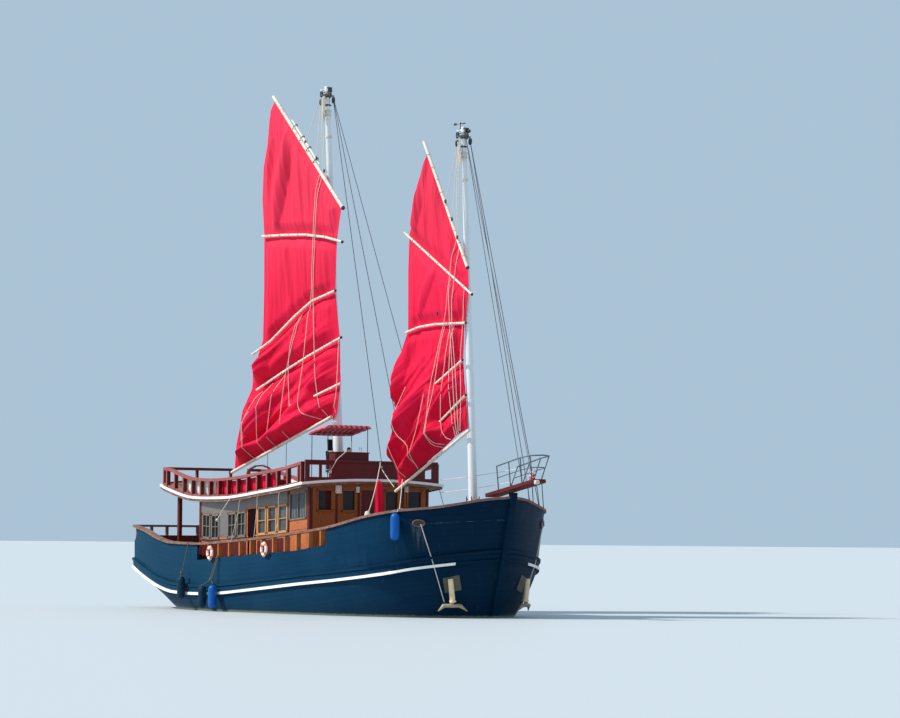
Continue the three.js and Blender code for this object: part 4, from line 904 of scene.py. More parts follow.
# from x, to x, sill and head above the deck, rows and columns of bars
GREY_PANES = [(-5.22, -4.72, 1.12, 2.02, 1, 1), (-4.60, -4.10, 1.12, 2.02, 1, 1),
              (-3.46, -2.92, 1.12, 2.02, 1, 1), (-2.80, -2.26, 1.12, 2.02, 1, 1)]
GOLD_PANES = [(-1.42, -0.88, 1.12, 2.12, 1, 0), (-0.74, -0.18, 1.12, 2.12, 1, 0),
              (-0.04, 0.54, 1.12, 2.12, 1, 0)]
CURTAINED = (0.70, 1.78, 1.52, 2.52)


def side_corners(x0, x1, low, high, side, out=0.0):
    return [Vector((x, side * (HOUSE_SIDE + out), look(DECK, x) + h))
            for x, h in ((x0, low), (x1, low), (x1, high), (x0, high))]


glass_bm = bmesh.new()
for label, finish, panes in (("grey", FRAME_GREY, GREY_PANES), ("gold", FRAME_GOLD, GOLD_PANES)):
    frames = bmesh.new()
    for side in (STARBOARD, PORT):
        out = Vector((0, side, 0))
        for x0, x1, low, high, rows, columns in panes:
            corners = side_corners(x0, x1, low, high, side)
            framed(frames, corners, out)
            glazing(frames, glass_bm, corners, out, rows, columns)
            sill = side_corners(x0 - 0.08, x1 + 0.08, low - 0.05, low - 0.05, side)[:2]
            board(frames, sill[0] + out * 0.03, sill[1] + out * 0.03, out, 0.12, 0.035)
    piece(frames, f"side_windows_{label}", finish, bevel=0.006)
FRONT_PANES = [(-2.14, 0.34), (-1.02, 0.32), (1.02, 0.32), (2.14, 0.34)]
# middle y, half width, x of the wall, low, high, rows, columns
END_PANES = [(y, half, HOUSE_FRONT, 3.92, 4.72, 0, 0) for y, half in FRONT_PANES]
END_PANES += [(y, 0.45, HOUSE_AFT, 2.95, 3.75, 1, 1) for y in (-1.75, 1.75)]
ends, end_glass = bmesh.new(), bmesh.new()
for y, half, x, low, high, rows, columns in END_PANES:
    out = Vector((1 if x > 0 else -1, 0, 0))
    corners = [Vector((x, y + half * h, z)) for h, z in ((-1, low), (1, low), (1, high), (-1, high))]
    framed(ends, corners, out, 0.06)
    glazing(ends, end_glass, corners, out, rows, columns)
piece(ends, "end_windows", VARNISH_SHADED_COPY, bevel=0.006)
piece(end_glass, "end_window_glass", DARK_GLASS)
piece(glass_bm, "window_glass", GLASS)
print(len(GREY_PANES + GOLD_PANES) * 2 + len(END_PANES), "windows")

# %% [markdown]
# The tall window by the corner has a curtain in place of a pane: a sheet gathered to seven tenths of
# its width. Its pleats are a sine wave that grows a little towards the hem.

# %% Curtains
x0, x1, low, high = CURTAINED
for side, label in ((STARBOARD, "starboard"), (PORT, "port")):
    out = Vector((0, side, 0))
    corners = side_corners(x0, x1, low, high, side)
    frames = bmesh.new()
    framed(frames, corners, out)
    foot, head = corners[0].lerp(corners[1], 0.5), corners[3].lerp(corners[2], 0.5)
    board(frames, foot, head, Vector((1, 0, 0)), 0.035, 0.05)
    piece(frames, f"tall_window_{label}", FRAME_GREY, bevel=0.006)
    bm = bmesh.new()
    bmesh.ops.create_grid(bm, x_segments=96, y_segments=12, size=0.5)
    for vert in bm.verts:
        u, v = vert.co.x + 0.5, vert.co.y + 0.5
        deep = 0.016 + 0.008 * (1 - v)
        wave = math.sin(math.tau * 11 * u) + 0.35 * math.sin(math.tau * 17 * u + 2 * v)
        low_edge, high_edge = corners[0].lerp(corners[1], u), corners[3].lerp(corners[2], u)
        vert.co = low_edge.lerp(high_edge, v) - out * (0.045 + deep * wave * 0.7)
    curtain = piece(bm, f"curtain_{label}", CURTAIN, sharp=180, outward=False)
    thicken(curtain, 0.003)
print("curtains hung")

# %% [markdown]
# ## Boards and mouldings on the house
# A painted frieze covers the wall above the windows, up to the deck over it. Its grey is made dark
# as painted shade from the deck above. A sill rail and a skirting run along the foot, and dark posts
# close the corners. The frieze has to meet a curved deck, so its upper edge is taken from the deck at
# several places.

# %% House trim
FRIEZE_PLACES = [-5.43, -4.5, -3.5, -2.2, -2.0, -0.9, 0.62]
DOOR_FROM, DOOR_TO = -2.14, -1.56
# x from and to, then heights above the deck: the grey pier between the after windows, two boards
PIER = (-4.05, -3.51, 1.08, 2.08)
FALSE_PANELS = [(0.74, 1.86, 1.10, 1.43), (0.74, 1.86, 0.28, 0.92)]


def under_deck(x):
    return upper_top(x, HOUSE_SIDE) - DECK_THICK - 0.02


def on_wall(bm, x0, x1, low, high, side, thick):
    """A thin panel on a side wall. low and high are heights above the deck."""
    corners = ((x0, low), (x1, low), (x1, high), (x0, high))
    slab(bm, [(x, side * HOUSE_SIDE, look(DECK, x) + h) for x, h in corners], Vector((0, side * thick, 0)))


frieze, trim, posts, dado = bmesh.new(), bmesh.new(), bmesh.new(), bmesh.new()
for side in (STARBOARD, PORT):
    face = side * HOUSE_SIDE
    push = Vector((0, side * 0.018, 0))
    for a, b in zip(FRIEZE_PLACES, FRIEZE_PLACES[1:]):
        foot = 2.08 if b <= -2.1 else 2.19
        slab(frieze, [(a, face, look(DECK, a) + foot), (b, face, look(DECK, b) + foot),
                      (b, face, under_deck(b)), (a, face, under_deck(a))], push)
    slab(frieze, [(0.62, face, 4.66), (1.90, face, 4.70), (1.90, face, under_deck(1.9)),
                  (0.62, face, under_deck(0.62))], push)
    on_wall(frieze, *PIER, side, 0.018)
    for a, b in ((HOUSE_AFT, DOOR_FROM - 0.09), (DOOR_TO + 0.09, 1.94)):
        on_wall(dado, a, b, 0.02, 0.86, side, 0.008)
        for rise, wide, thick in ((1.02, 0.06, 0.03), (0.11, 0.18, 0.022)):
            start, end = [(x, face + push.y * 0.6, look(DECK, x) + rise) for x in (a, b)]
            board(trim, start, end, (0, 0, 1), wide, thick)
    for x, wide in ((0.62, 0.09), (1.96, 0.14), (HOUSE_AFT + 0.05, 0.12)):
        board(posts, (x, face + side * 0.012, look(DECK, x) + 0.02), (x, face + side * 0.012, under_deck(x)),
              (1, 0, 0), wide, 0.05)
    for panel in FALSE_PANELS:
        on_wall(trim, *panel, side, 0.014)
for y in (-2.76, -1.58, -0.53, 0.53, 1.58, 2.76):
    board(posts, (HOUSE_FRONT + 0.012, y, 2.20), (HOUSE_FRONT + 0.012, y, 4.78), (0, 1, 0), 0.09, 0.035)
piece(frieze, "house_frieze", FRIEZE_SHADED, bevel=0.004)
piece(trim, "house_trim", VARNISH, bevel=0.006)
piece(dado, "house_dado", MAHOGANY_UP, bevel=0.003)
piece(posts, "house_posts", MAHOGANY_UP, bevel=0.006)
print("house trimmed")

# %% [markdown]
# ## Doors
# The doors are plain leaves in the CAD model. Raised panels, a knob and two hinges make them
# joinery. They must swing, so each of these rides on its own door and stays within the wall.

# %% Door panels
# node, direction across the leaf, direction through it, side of the knob
DOORS = [("starboard_door", 0, 1, -1), ("port_door", 0, 1, -1), ("front_door", 1, 0, 1),
         ("aft_door", 1, 0, 1)]
for name, wide_axis, deep_axis, knob_side in DOORS:
    low, high = (Vector(corner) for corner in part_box(name))
    panels, metal = bmesh.new(), bmesh.new()
    middle = (low + high) / 2
    for way in (-1, 1):
        for z0, z1 in ((0.10, 0.45), (0.52, 0.93)):
            a, b = low.copy(), high.copy()
            a[wide_axis], b[wide_axis] = low[wide_axis] + 0.09, high[wide_axis] - 0.09
            a.z, b.z = low.z + (high.z - low.z) * z0, low.z + (high.z - low.z) * z1
            a[deep_axis] = middle[deep_axis] + way * 0.020
            b[deep_axis] = middle[deep_axis] + way * 0.029
            block(panels, [min(p) for p in zip(a, b)], [max(p) for p in zip(a, b)])
        knob = middle.copy()
        knob[wide_axis] = high[wide_axis] - 0.06 if knob_side > 0 else low[wide_axis] + 0.06
        knob.z = low.z + 0.95
        tip = knob.copy()
        tip[deep_axis] += way * 0.055
        rod(metal, knob, tip, 0.012)
        ball(metal, tip, 0.022)
    body = nodes[name]["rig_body"]
    piece(panels, f"{name}_panels", DOOR_RED_SHADED if wide_axis == 0 else MAHOGANY_UP, body, bevel=0.006)
    piece(metal, f"{name}_knobs", BRONZE, body)
print(len(DOORS), "doors")

# %% [markdown]
# ## Lamps on the front wall
# Three bulkhead lamps hang high on the front wall: a square box and two small ones. Each is a
# painted case with a glass front behind a guard of thin bars.

# %% Bulkhead lamps
lamps, lamp_glass = bmesh.new(), bmesh.new()
for y, z, wide, high in ((-1.54, 4.74, 0.24, 0.30), (-0.635, 4.74, 0.12, 0.22), (1.70, 4.78, 0.14, 0.22)):
    block(lamps, (HOUSE_FRONT + 0.03, y - wide / 2, z - high / 2),
          (HOUSE_FRONT + 0.11, y + wide / 2, z + high / 2))
    block(lamp_glass, (HOUSE_FRONT + 0.11, y - wide * 0.36, z - high * 0.36),
          (HOUSE_FRONT + 0.135, y + wide * 0.36, z + high * 0.36))
    for share in (-0.2, 0.0, 0.2):
        rod(lamps, (HOUSE_FRONT + 0.142, y + share * wide, z - high * 0.42),
            (HOUSE_FRONT + 0.142, y + share * wide, z + high * 0.42), 0.004, sides=8)
piece(lamps, "front_lamps", WHITE, bevel=0.012)
piece(lamp_glass, "front_lamp_glass", WHITE_CLOTH, bevel=0.010)
print("three lamps")

# %% [markdown]
# ## Canopy
# The helm's sun canopy is striped canvas over a frame of pipe. One sheet covers it: it rises a little
# in the middle, sags between the pipes, and turns down at its edges as a short valance. A fine grid
# is bent by that rule. Distance beyond the frame becomes drop, so the valance is part of the sheet.

# %% Canopy sheet
CANOPY_X, CANOPY_Y, CANOPY_Z = (0.33, 1.48), (-1.63, 0.36), (6.93, 7.19)
VALANCE = 0.11


def beyond(share, half):
    """Splits a distance from the middle into the part on the frame and the part that hangs."""
    reach = abs(share) * (half + VALANCE)
    return math.copysign(min(reach, half), share), max(0.0, reach - half)


canopy_bm = bmesh.new()
bmesh.ops.create_grid(canopy_bm, x_segments=56, y_segments=90, size=1)
half_x, half_y = (CANOPY_X[1] - CANOPY_X[0]) / 2, (CANOPY_Y[1] - CANOPY_Y[0]) / 2
for vert in canopy_bm.verts:
    x, hang_x = beyond(vert.co.x, half_x)
    y, hang_y = beyond(vert.co.y, half_y)
    hang_by = max(hang_x, hang_y)
    u, v = x / half_x, y / half_y
    frame_z = CANOPY_Z[0] + (u + 1) / 2 * (CANOPY_Z[1] - CANOPY_Z[0])
    sag = 0.018 * (1 - v * v) * math.cos(3 * math.pi * u) ** 2
    rise = 0.085 * (1 - u * u) ** 0.7 * (1 - v * v) ** 0.5 - sag
    flap = 0.014 * math.sin(17 * (x + y)) * hang_by / VALANCE
    wide = 1 + 0.10 * hang_by / VALANCE
    vert.co = (sum(CANOPY_X) / 2 + x * wide + flap * 0.6, sum(CANOPY_Y) / 2 + y * wide ** 0.4 + flap,
               frame_z + 0.024 + rise - hang_by * 0.95)
canopy_sheet = piece(canopy_bm, "canopy_sheet", CANVAS, replaces=["canopy"], sharp=180, outward=False)
thicken(canopy_sheet, 0.004)
print("canopy sheet")

# %% [markdown]
# ## The folded parasol
# A parasol stands furled in its red sleeve in front of the house. The sleeve is cloth drawn round
# the folded ribs, so its section is a wavy ring and its ends are gathered. Spinning a profile and
# then pushing each point in or out by its angle gives the gathers.

# %% Parasol
PARASOL_X, PARASOL_Y, PARASOL_Z = 3.6, -0.73, 2.304
# radius and height
SLEEVE = [(0.045, 0.52), (0.10, 0.53), (0.145, 0.60), (0.158, 0.80), (0.156, 1.10), (0.153, 1.5),
          (0.151, 1.9), (0.152, 2.25), (0.144, 2.45), (0.118, 2.60), (0.080, 2.70), (0.042, 2.76),
          (0.028, 2.78)]
LONG_STEP = 0.05
sleeve_bm = bmesh.new()
turned(sleeve_bm, SLEEVE, Matrix.Identity(4), 84)
tall = [edge for edge in sleeve_bm.edges if abs(edge.verts[0].co.z - edge.verts[1].co.z) > LONG_STEP]
bmesh.ops.subdivide_edges(sleeve_bm, edges=tall, cuts=5)
for vert in sleeve_bm.verts:
    angle, z = math.atan2(vert.co.y, vert.co.x), vert.co.z
    push = 1 + 0.075 * math.sin(7 * angle + 0.9 * z) + 0.045 * math.sin(12 * angle - 2.1 * z + 1)
    push += 0.03 * math.sin(9 * z + 2 * angle)
    vert.co = (vert.co.x * push, vert.co.y * push, z)
bmesh.ops.translate(sleeve_bm, verts=sleeve_bm.verts, vec=(PARASOL_X, PARASOL_Y, PARASOL_Z))
sleeve = piece(sleeve_bm, "parasol_sleeve", RED_CLOTH, replaces=["folded_parasol"], sharp=180)
thicken(sleeve, 0.003)
pole = bmesh.new()
place = Matrix.Translation((PARASOL_X, PARASOL_Y, PARASOL_Z))
turned(pole, [(0, 0.0), (0.140, 0.0), (0.140, 0.04), (0.06, 0.09), (0.026, 0.12), (0.022, 2.79),
              (0.016, 2.84), (0, 2.84)], place)
piece(pole, "parasol_pole", VARNISH_UP)
print("parasol")

# %% [markdown]
# ## Cushions
# A cushion is a closed form with a crown: it is thick in the middle, its sides pull in between the
# corners, and it thins to a narrow seam. The pad starts as a cube cut into a grid. Its thickness is
# then scaled by a crown that falls off towards the edges. A subdivision surface rounds it off. Each
# pad is made in a bmesh of its own, because cutting edges makes old references to points useless.

# %% Pads


def pad(bm, place, wide, deep, thick, seam=0.30, pull=0.06, channels=0):
    """A crowned pad about its own middle. channels are sewn lines across its width."""
    alone = bmesh.new()
    bmesh.ops.create_cube(alone, size=2)
    bmesh.ops.subdivide_edges(alone, edges=alone.edges, cuts=9, use_grid_fill=True)
    for vert in alone.verts:
        a, b, c = vert.co
        crown = max(0.0, (1 - a ** 4) * (1 - b ** 4)) ** 0.5
        sewn = 1.0
        if channels:
            sewn -= 0.28 * crown * max(0.0, math.cos(math.pi * b * (channels + 1))) ** 12
        vert.co = (a * wide / 2 * (1 - pull * (1 - b * b)), b * deep / 2 * (1 - pull * (1 - a * a)),
                   c * thick / 2 * (seam + (1 - seam) * crown) * sewn)
    bmesh.ops.transform(alone, matrix=place, verts=alone.verts)
    mesh = bpy.data.meshes.new("pad")
    alone.to_mesh(mesh)
    alone.free()
    bm.from_mesh(mesh)
    bpy.data.meshes.remove(mesh)


def along_rail(x, side, inward, rise):
    """A place beside the upper rail: its X runs along the rail and its Z is up."""
    step = 0.3
    y = side * (look(UPPER_SIDE, x) - 0.22 - inward)
    turn = math.atan2(side * (look(UPPER_SIDE, x + step) - look(UPPER_SIDE, x - step)), 2 * step)
    pitch = math.atan2(upper_top(x + step, y) - upper_top(x - step, y), 2 * step)
    return (Matrix.Translation((x, y, upper_top(x, y) + rise)) @ Matrix.Rotation(turn, 4, "Z")
            @ Matrix.Rotation(-pitch, 4, "Y"))


UPRIGHT = Matrix.Rotation(math.pi / 2, 4, "X")
# name, finish, first x, how many
BENCHES = [("white", WHITE_CLOTH, -6.62, 4), ("red", RED_CLOTH, -4.10, 7)]
SEAT_PITCH = 0.63
boxes = bmesh.new()
for side, label in ((STARBOARD, "starboard"), (PORT, "port")):
    for colour, finish, first, count in BENCHES:
        seats, backs = bmesh.new(), bmesh.new()
        for k in range(count):
            x = first + SEAT_PITCH * k
            pad(seats, along_rail(x, side, 0.36, 0.325), 0.62, 0.46, 0.11)
            pad(backs, along_rail(x, side, 0.065, 0.34) @ UPRIGHT, 0.62, 0.56, 0.12, channels=1)
            box_place = along_rail(x, side, 0.36, 0.155)
            bmesh.ops.create_cube(boxes, size=1, matrix=box_place @ Matrix.Diagonal((0.635, 0.46, 0.23, 1)))
        for kind, bm in (("seats", seats), ("backs", backs)):
            piece(bm, f"bench_{colour}_{kind}_{label}", finish, sharp=180, levels=1)
piece(boxes, "bench_boxes", MAHOGANY, bevel=0.008)
print("benches on both sides")

# %% Arched rail
ARCH = [(-6.26, 5.44), (-6.05, 5.62), (-5.7, 5.73), (-5.2, 5.75), (-4.8, 5.66), (-4.51, 5.47)]
arch = bmesh.new()
for (ax, az), (bx, bz) in zip(ARCH, ARCH[1:]):
    board(arch, (ax - 0.01, 0, az), (bx + 0.01, 0, bz), (0, 1, 0), 0.10, 0.055)
for x, z in (ARCH[0], ARCH[-1]):
    block(arch, (x - 0.035, -0.04, upper_top(x)), (x + 0.035, 0.04, z + 0.01))
board(arch, (ARCH[0][0], 0, 5.10), (ARCH[-1][0], 0, 5.12), (0, 0, 1), 0.09, 0.03)
piece(arch, "arched_rail", RAIL_RED, bevel=0.008)
print("arched rail")

# %% Helm seat
SEAT_X, SEAT_Y = 0.665, -0.80
seat_foot = upper_top(SEAT_X, SEAT_Y)
seat_bm, back_bm, base = bmesh.new(), bmesh.new(), bmesh.new()
pad(seat_bm, Matrix.Translation((SEAT_X + 0.01, SEAT_Y, 5.46)), 0.36, 0.43, 0.13, channels=1)
lean = Matrix.Rotation(math.radians(-4), 4, "Y")
LYING = Matrix.Rotation(math.pi / 2, 4, "Y")
pad(back_bm, Matrix.Translation((0.51, SEAT_Y, 5.88)) @ lean @ LYING, 0.72, 0.40, 0.11, channels=2)
pad(back_bm, Matrix.Translation((0.49, SEAT_Y, 6.47)) @ lean @ LYING, 0.46, 0.25, 0.10, channels=1)
for name, bm in (("cushion", seat_bm), ("back", back_bm)):
    piece(bm, f"helm_seat_{name}", LEATHER, replaces=["helm_seat"], sharp=180, levels=1)
turned(base, [(0, 0), (0.17, 0), (0.17, 0.02), (0.05, 0.05), (0.035, 0.10), (0.035, 5.40 - seat_foot),
              (0, 5.40 - seat_foot)], Matrix.Translation((SEAT_X, SEAT_Y, seat_foot)))
block(base, (0.47, SEAT_Y - 0.19, 5.375), (0.83, SEAT_Y + 0.19, 5.400))
for way in (-1, 1):
    y = SEAT_Y + way * 0.20
    rod(base, (0.50, y, 5.40), (0.475, y, 5.75), 0.012)
    rod(base, (0.475, y, 5.72), (0.80, y, 5.74), 0.014)
rod(base, (0.50, SEAT_Y, 6.16), (0.49, SEAT_Y, 6.34), 0.014)
piece(base, "helm_seat_base", CHROME, replaces=["helm_seat"], bevel=0.003)
print("helm seat")

# %% [markdown]
# ## Helm console
# The console carries a compass under a dome, a sloping instrument panel with round dials, and an
# engine lever. They are small turned shapes. The dials stay blank.

# %% Console details
CONSOLE_X, CONSOLE_TOP = (1.25, 1.67), 6.186
dials, brass, lens_bm, trims = bmesh.new(), bmesh.new(), bmesh.new(), bmesh.new()
place = Matrix.Translation((1.46, -0.60, CONSOLE_TOP))
turned(brass, [(0, 0), (0.11, 0), (0.11, 0.03), (0.085, 0.07), (0.085, 0.10), (0, 0.10)], place)
turned(lens_bm, [(0.080, 0.10), (0.075, 0.14), (0.052, 0.175), (0.02, 0.19), (0, 0.192)], place)
for y in (-1.15, -0.95, -0.25, -0.05):
    face = Matrix.Translation((CONSOLE_X[0] - 0.004, y, 5.98)) @ Matrix.Rotation(-math.pi / 2, 4, "Y")
    turned(dials, [(0, 0), (0.055, 0), (0.060, 0.012), (0.068, 0.016), (0.068, 0)], face)
for y in (-0.02, 0.06):
    rod(brass, (1.40, y, CONSOLE_TOP), (1.36, y, CONSOLE_TOP + 0.16), 0.008)
    ball(brass, (1.36, y, CONSOLE_TOP + 0.17), 0.02, 12)
for y0, y1, z0, z1 in ((-1.34, -0.66, 5.16, 5.76), (-0.54, 0.14, 5.16, 5.76)):
    for x, way in ((CONSOLE_X[0], -1), (CONSOLE_X[1], 1)):
        slab(trims, [(x, y0, z0), (x, y1, z0), (x, y1, z1), (x, y0, z1)], Vector((way * 0.014, 0, 0)))
block(trims, (1.215, -1.43, CONSOLE_TOP - 0.035), (1.70, 0.23, CONSOLE_TOP + 0.002))
piece(brass, "console_brass", BRONZE, bevel=0.003)
piece(lens_bm, "compass_dome", DARK_GLASS)
piece(dials, "console_dials", BLACK)
piece(trims, "console_trim", MAHOGANY_UP, bevel=0.008)
print("console")

# %% [markdown]
# ## Fenders and lifebuoys
# Fenders are smooth vinyl bags with a moulded neck and eye at each end. Each hangs on a short lanyard
# from the rail. The CAD nodes give their places, so a loop over the nodes' boxes makes all four.
# Lifebuoys are rings with four coloured bands, so they are a whole ring and four short arcs over it.

# %% Fenders
FENDERS = [("fender_bow", VINYL), ("fender_quarter_fore", VINYL), ("fender_quarter_middle", VINYL_DARK),
           ("fender_quarter_aft", VINYL_DARK)]
# shares of the radius and of the length: the bag, then the neck and eye at one end
BAG = [(0.30, 0.045), (0.55, 0.06), (0.82, 0.10), (0.96, 0.17), (1, 0.26), (1, 0.74), (0.96, 0.83),
       (0.80, 0.90), (0.52, 0.94), (0.34, 0.955)]
NECK = [(0, 0), (0.20, 0), (0.26, 0.02), (0.36, 0.045), (0.30, 0.075), (0, 0.075)]
eyes = {}
for name, finish in FENDERS:
    low, high = (Vector(corner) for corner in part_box(name))
    radius, long = (high.x - low.x) / 2, high.z - low.z
    middle = (low + high) / 2
    bag, ends = bmesh.new(), bmesh.new()
    place = Matrix.Translation((middle.x, middle.y, low.z))
    turned(bag, [(wide * radius, high * long) for wide, high in BAG], place, 40)
    for start, way in ((0.0, 1), (1.0, -1)):
        turned(ends, [(wide * radius, (start + way * high) * long) for wide, high in NECK], place, 24)
    piece(bag, f"{name}_bag", finish, replaces=[name])
    piece(ends, f"{name}_ends", VINYL_DARK if finish is VINYL else BLACK, replaces=[name])
    eyes[name] = Vector((middle.x, middle.y, high.z - 0.01))


def over_cap(x):
    """Three places of a line that comes up outside the rail cap at x and turns over it."""
    level = look(RAIL_TOP, x) - 0.06
    edge, _, _, _ = CAP_TREE.ray_cast(Vector((x, -9, level)), Vector((0, 1, 0)))
    top = cap_top(x, edge.y + 0.05)
    return [edge - Vector((0, 0.014, 0.02)), Vector((x, edge.y - 0.012, top.z + 0.012)),
            Vector((x, edge.y + 0.20, top.z + 0.014))]


# The two fenders side by side share a knot, which is tied to a board of the rail.
KNOT, TIE = Vector((-2.91, -3.97, 1.26)), Vector((-2.80, -3.745, 2.10))
lines("fender_lanyards", ROPE_DARK, 0.014, [
    [eyes["fender_quarter_fore"], KNOT], [eyes["fender_quarter_middle"], KNOT],
    [KNOT, TIE], [KNOT + Vector((-0.05, 0, 0.02)), TIE + Vector((-0.07, 0.02, 0.10))],
    [KNOT + Vector((0.05, 0, 0.02)), TIE + Vector((0.06, 0.02, 0.06))],
    [eyes["fender_quarter_aft"], *over_cap(-5.12)],
])
lines("fender_bow_lanyard", ROPE_PALE, 0.014, [[eyes["fender_bow"], *over_cap(8.45)]])
fender_knots = bmesh.new()
for place in (KNOT, TIE, eyes["fender_quarter_aft"] + Vector((0.03, 0, 0.12))):
    tied(fender_knots, place, 0.045, 0.026)
piece(fender_knots, "fender_knots", ROPE_DARK)
print(len(eyes), "fenders")

# %% Lifebuoys
BUOY_RADIUS, BUOY_THICK, BUOY_YAW = 0.208, 0.060, math.radians(11)
# x, height and distance from the middle line
BUOYS = [(-3.32, 2.26, 3.765), (0.60, 2.44, 3.935)]
rings, bands, grab = bmesh.new(), bmesh.new(), []
for x, z, off in BUOYS:
    for side in (STARBOARD, PORT):
        yaw = Matrix.Rotation(side * BUOY_YAW, 4, "Z")
        place = Matrix.Translation((x, side * off, z)) @ yaw @ Matrix.Rotation(math.pi / 2, 4, "X")
        ring(rings, place, BUOY_RADIUS, BUOY_THICK, 48, 16)
        for k in range(4):
            start = Matrix.Rotation(math.radians(90 * k + 30), 4, "Z")
            ring(bands, place @ start, BUOY_RADIUS, BUOY_THICK + 0.003, 12, 16, sweep=math.radians(32))
            arc = []
            for step in range(11):
                turn = math.radians(90 * k + 46 + step * 9)
                reach = BUOY_RADIUS + BUOY_THICK + 0.006 + 0.02 * math.sin(step / 10 * math.pi)
                arc.append(place @ Vector((math.cos(turn) * reach, math.sin(turn) * reach, 0)))
            grab.append(arc)
piece(rings, "lifebuoys", WHITE)
piece(bands, "lifebuoy_bands", ORANGE)
lines("lifebuoy_lines", ROPE_PALE, 0.006, grab)
print("four lifebuoys")

# %% [markdown]
# ## Bow fittings
# Each bow has an oval hawse ring high up, a worn metal plate where the anchor rubs, and a rope from
# the hawse down to the anchor. A small frame of axes on the hull's own surface carries them: its Z
# points out of the hull and its Y runs up it. The anchor's shank is drawn into a stout gilt tube.

# %% Hawse rings and anchor plates


def on_side(x, z, side, off=0.0):
    """Axes on the hull's side: Y up along it, Z out of it."""
    place, out = hull_side(x, z, side)
    up = Vector((0, 0, 1))
    up = (up - out * up.dot(out)).normalized()
    turn = Matrix((up.cross(out), up, out)).transposed().to_4x4()
    return Matrix.Translation(place + out * off) @ turn


hawse, rim, dark, plates, anchor_ropes = bmesh.new(), bmesh.new(), bmesh.new(), bmesh.new(), []
sleeves = bmesh.new()
for side, label in ((STARBOARD, "starboard"), (PORT, "port")):
    place = on_side(8.95, 3.46, side, 0.004)
    ring(hawse, place, 0.215, 0.030, 40, 10, squash=0.56)
    ring(rim, place, 0.39, 0.012, 48, 8, squash=0.50)
    # A black disk fills the ring: painted shade for the dark inside of the hawse hole.
    turned(dark, [(0, 0.0), (0.20, 0.0), (0.20, 0.012), (0, 0.012)],
           place @ Matrix.Diagonal((1, 0.56, 1, 1)), 32)
    at = on_side(9.32, 1.25, side, 0.012)
    tilt = Matrix.Rotation(math.radians(-12 * side), 4, "Z")
    plate_size = Matrix.Diagonal((0.62, 0.58, 0.024, 1))
    bmesh.ops.create_cube(plates, size=1, matrix=at @ tilt @ plate_size)
    for u, v in ((-0.25, -0.26), (0.25, -0.26), (-0.25, 0.26), (0.25, 0.26)):
        turned(plates, [(0, 0), (0.022, 0), (0.018, 0.012), (0, 0.016)],
               at @ tilt @ Matrix.Translation((u, v, 0.012)), 12)
    lip = on_side(9.00, 3.43, side, 0.05).translation
    wale_edge = on_side(9.16, 2.02, side, 0.022).translation
    low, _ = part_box(f"anchor_{label}")
    rod(sleeves, (9.468, side * 1.816, 1.44), (9.469, side * 1.708, 0.62), 0.098, 0.104, 24)
    rod(sleeves, (9.469, side * 1.708, 0.66), (9.469, side * 1.700, 0.58), 0.125, 0.125, 24)
    anchor_ropes.append([lip, wale_edge, Vector((low[0] + 0.03, side * 1.85, low[2] + 0.34))])
piece(hawse, "hawse_rings", RUSTED)
piece(rim, "hawse_rims", HULL)
piece(sleeves, "anchor_sleeves", ANCHOR_GILT, bevel=0.012)
piece(dark, "hawse_mouth_shade", BLACK)
piece(plates, "anchor_plates", WORN_PLATE, bevel=0.008)
lines("anchor_ropes", ROPE_PALE, 0.018, anchor_ropes)
print("hawse rings and plates")

# %% Lifelines and platform struts
PULPIT_TREE = tree_of("pulpit_rail")
lifelines = []
for start_z, end in ((5.17, (10.46, 0.49, 5.48)), (4.68, (10.38, 0.38, 5.0))):
    touch, _, _, _ = PULPIT_TREE.find_nearest(Vector(end))
    lifelines.append(sagging((2.27, 3.22, start_z), touch, 0.004, 12))
lines("lifelines", WHITE, 0.011, lifelines)
struts = bmesh.new()
# the platform's after end, the height of its underside there, and its slope
PLATFORM_X, PLATFORM_Z, PLATFORM_SLOPE = 9.537, 4.43, 0.186
# x at the platform, then x and y of the foot on the rail cap
STRUTS = [(11.35, 10.1, 1.34), (11.6, 9.9, 1.7), (11.85, 9.55, 2.28), (12.15, 8.9, 3.01)]
for top_x, foot_x, foot_y in STRUTS:
    top_z = PLATFORM_Z + (top_x - PLATFORM_X) * PLATFORM_SLOPE
    rod(struts, (top_x, 0.27, top_z), cap_top(foot_x, foot_y), 0.018)
piece(struts, "platform_struts", STEEL)
# a roller across the platform's end, and a red and white binding round the foot of the fore stay
ROLLER_X, ROLLER_Z = 12.40, 4.97
roller, red_binding, pale_binding = bmesh.new(), bmesh.new(), bmesh.new()
rod(roller, (ROLLER_X, -0.27, ROLLER_Z), (ROLLER_X, -0.09, ROLLER_Z), 0.08, sides=20)
STAY_TREE = tree_of("fore_stays")
for k in range(6):
    at, _, _, _ = STAY_TREE.find_nearest(Vector((12.06, -0.05, 5.10 + 0.045 * k)))
    turn = Matrix.Rotation(0.25 * k, 4, "X")
    ring(pale_binding if k % 3 == 2 else red_binding, Matrix.Translation(at) @ turn, 0.085, 0.030, 20, 8)
piece(roller, "bow_roller", ROPE_PALE, bevel=0.02)
piece(red_binding, "bow_binding_red", ROPE_ROSE)
piece(pale_binding, "bow_binding_pale", ROPE_PALE)
print("lifelines and struts")

# %% [markdown]
# ## The aft ladder
# A ladder leads from the after deck to the gap in the upper rail. No photograph of it exists, so it
# is the usual kind: two strings and flat treads that stay level.

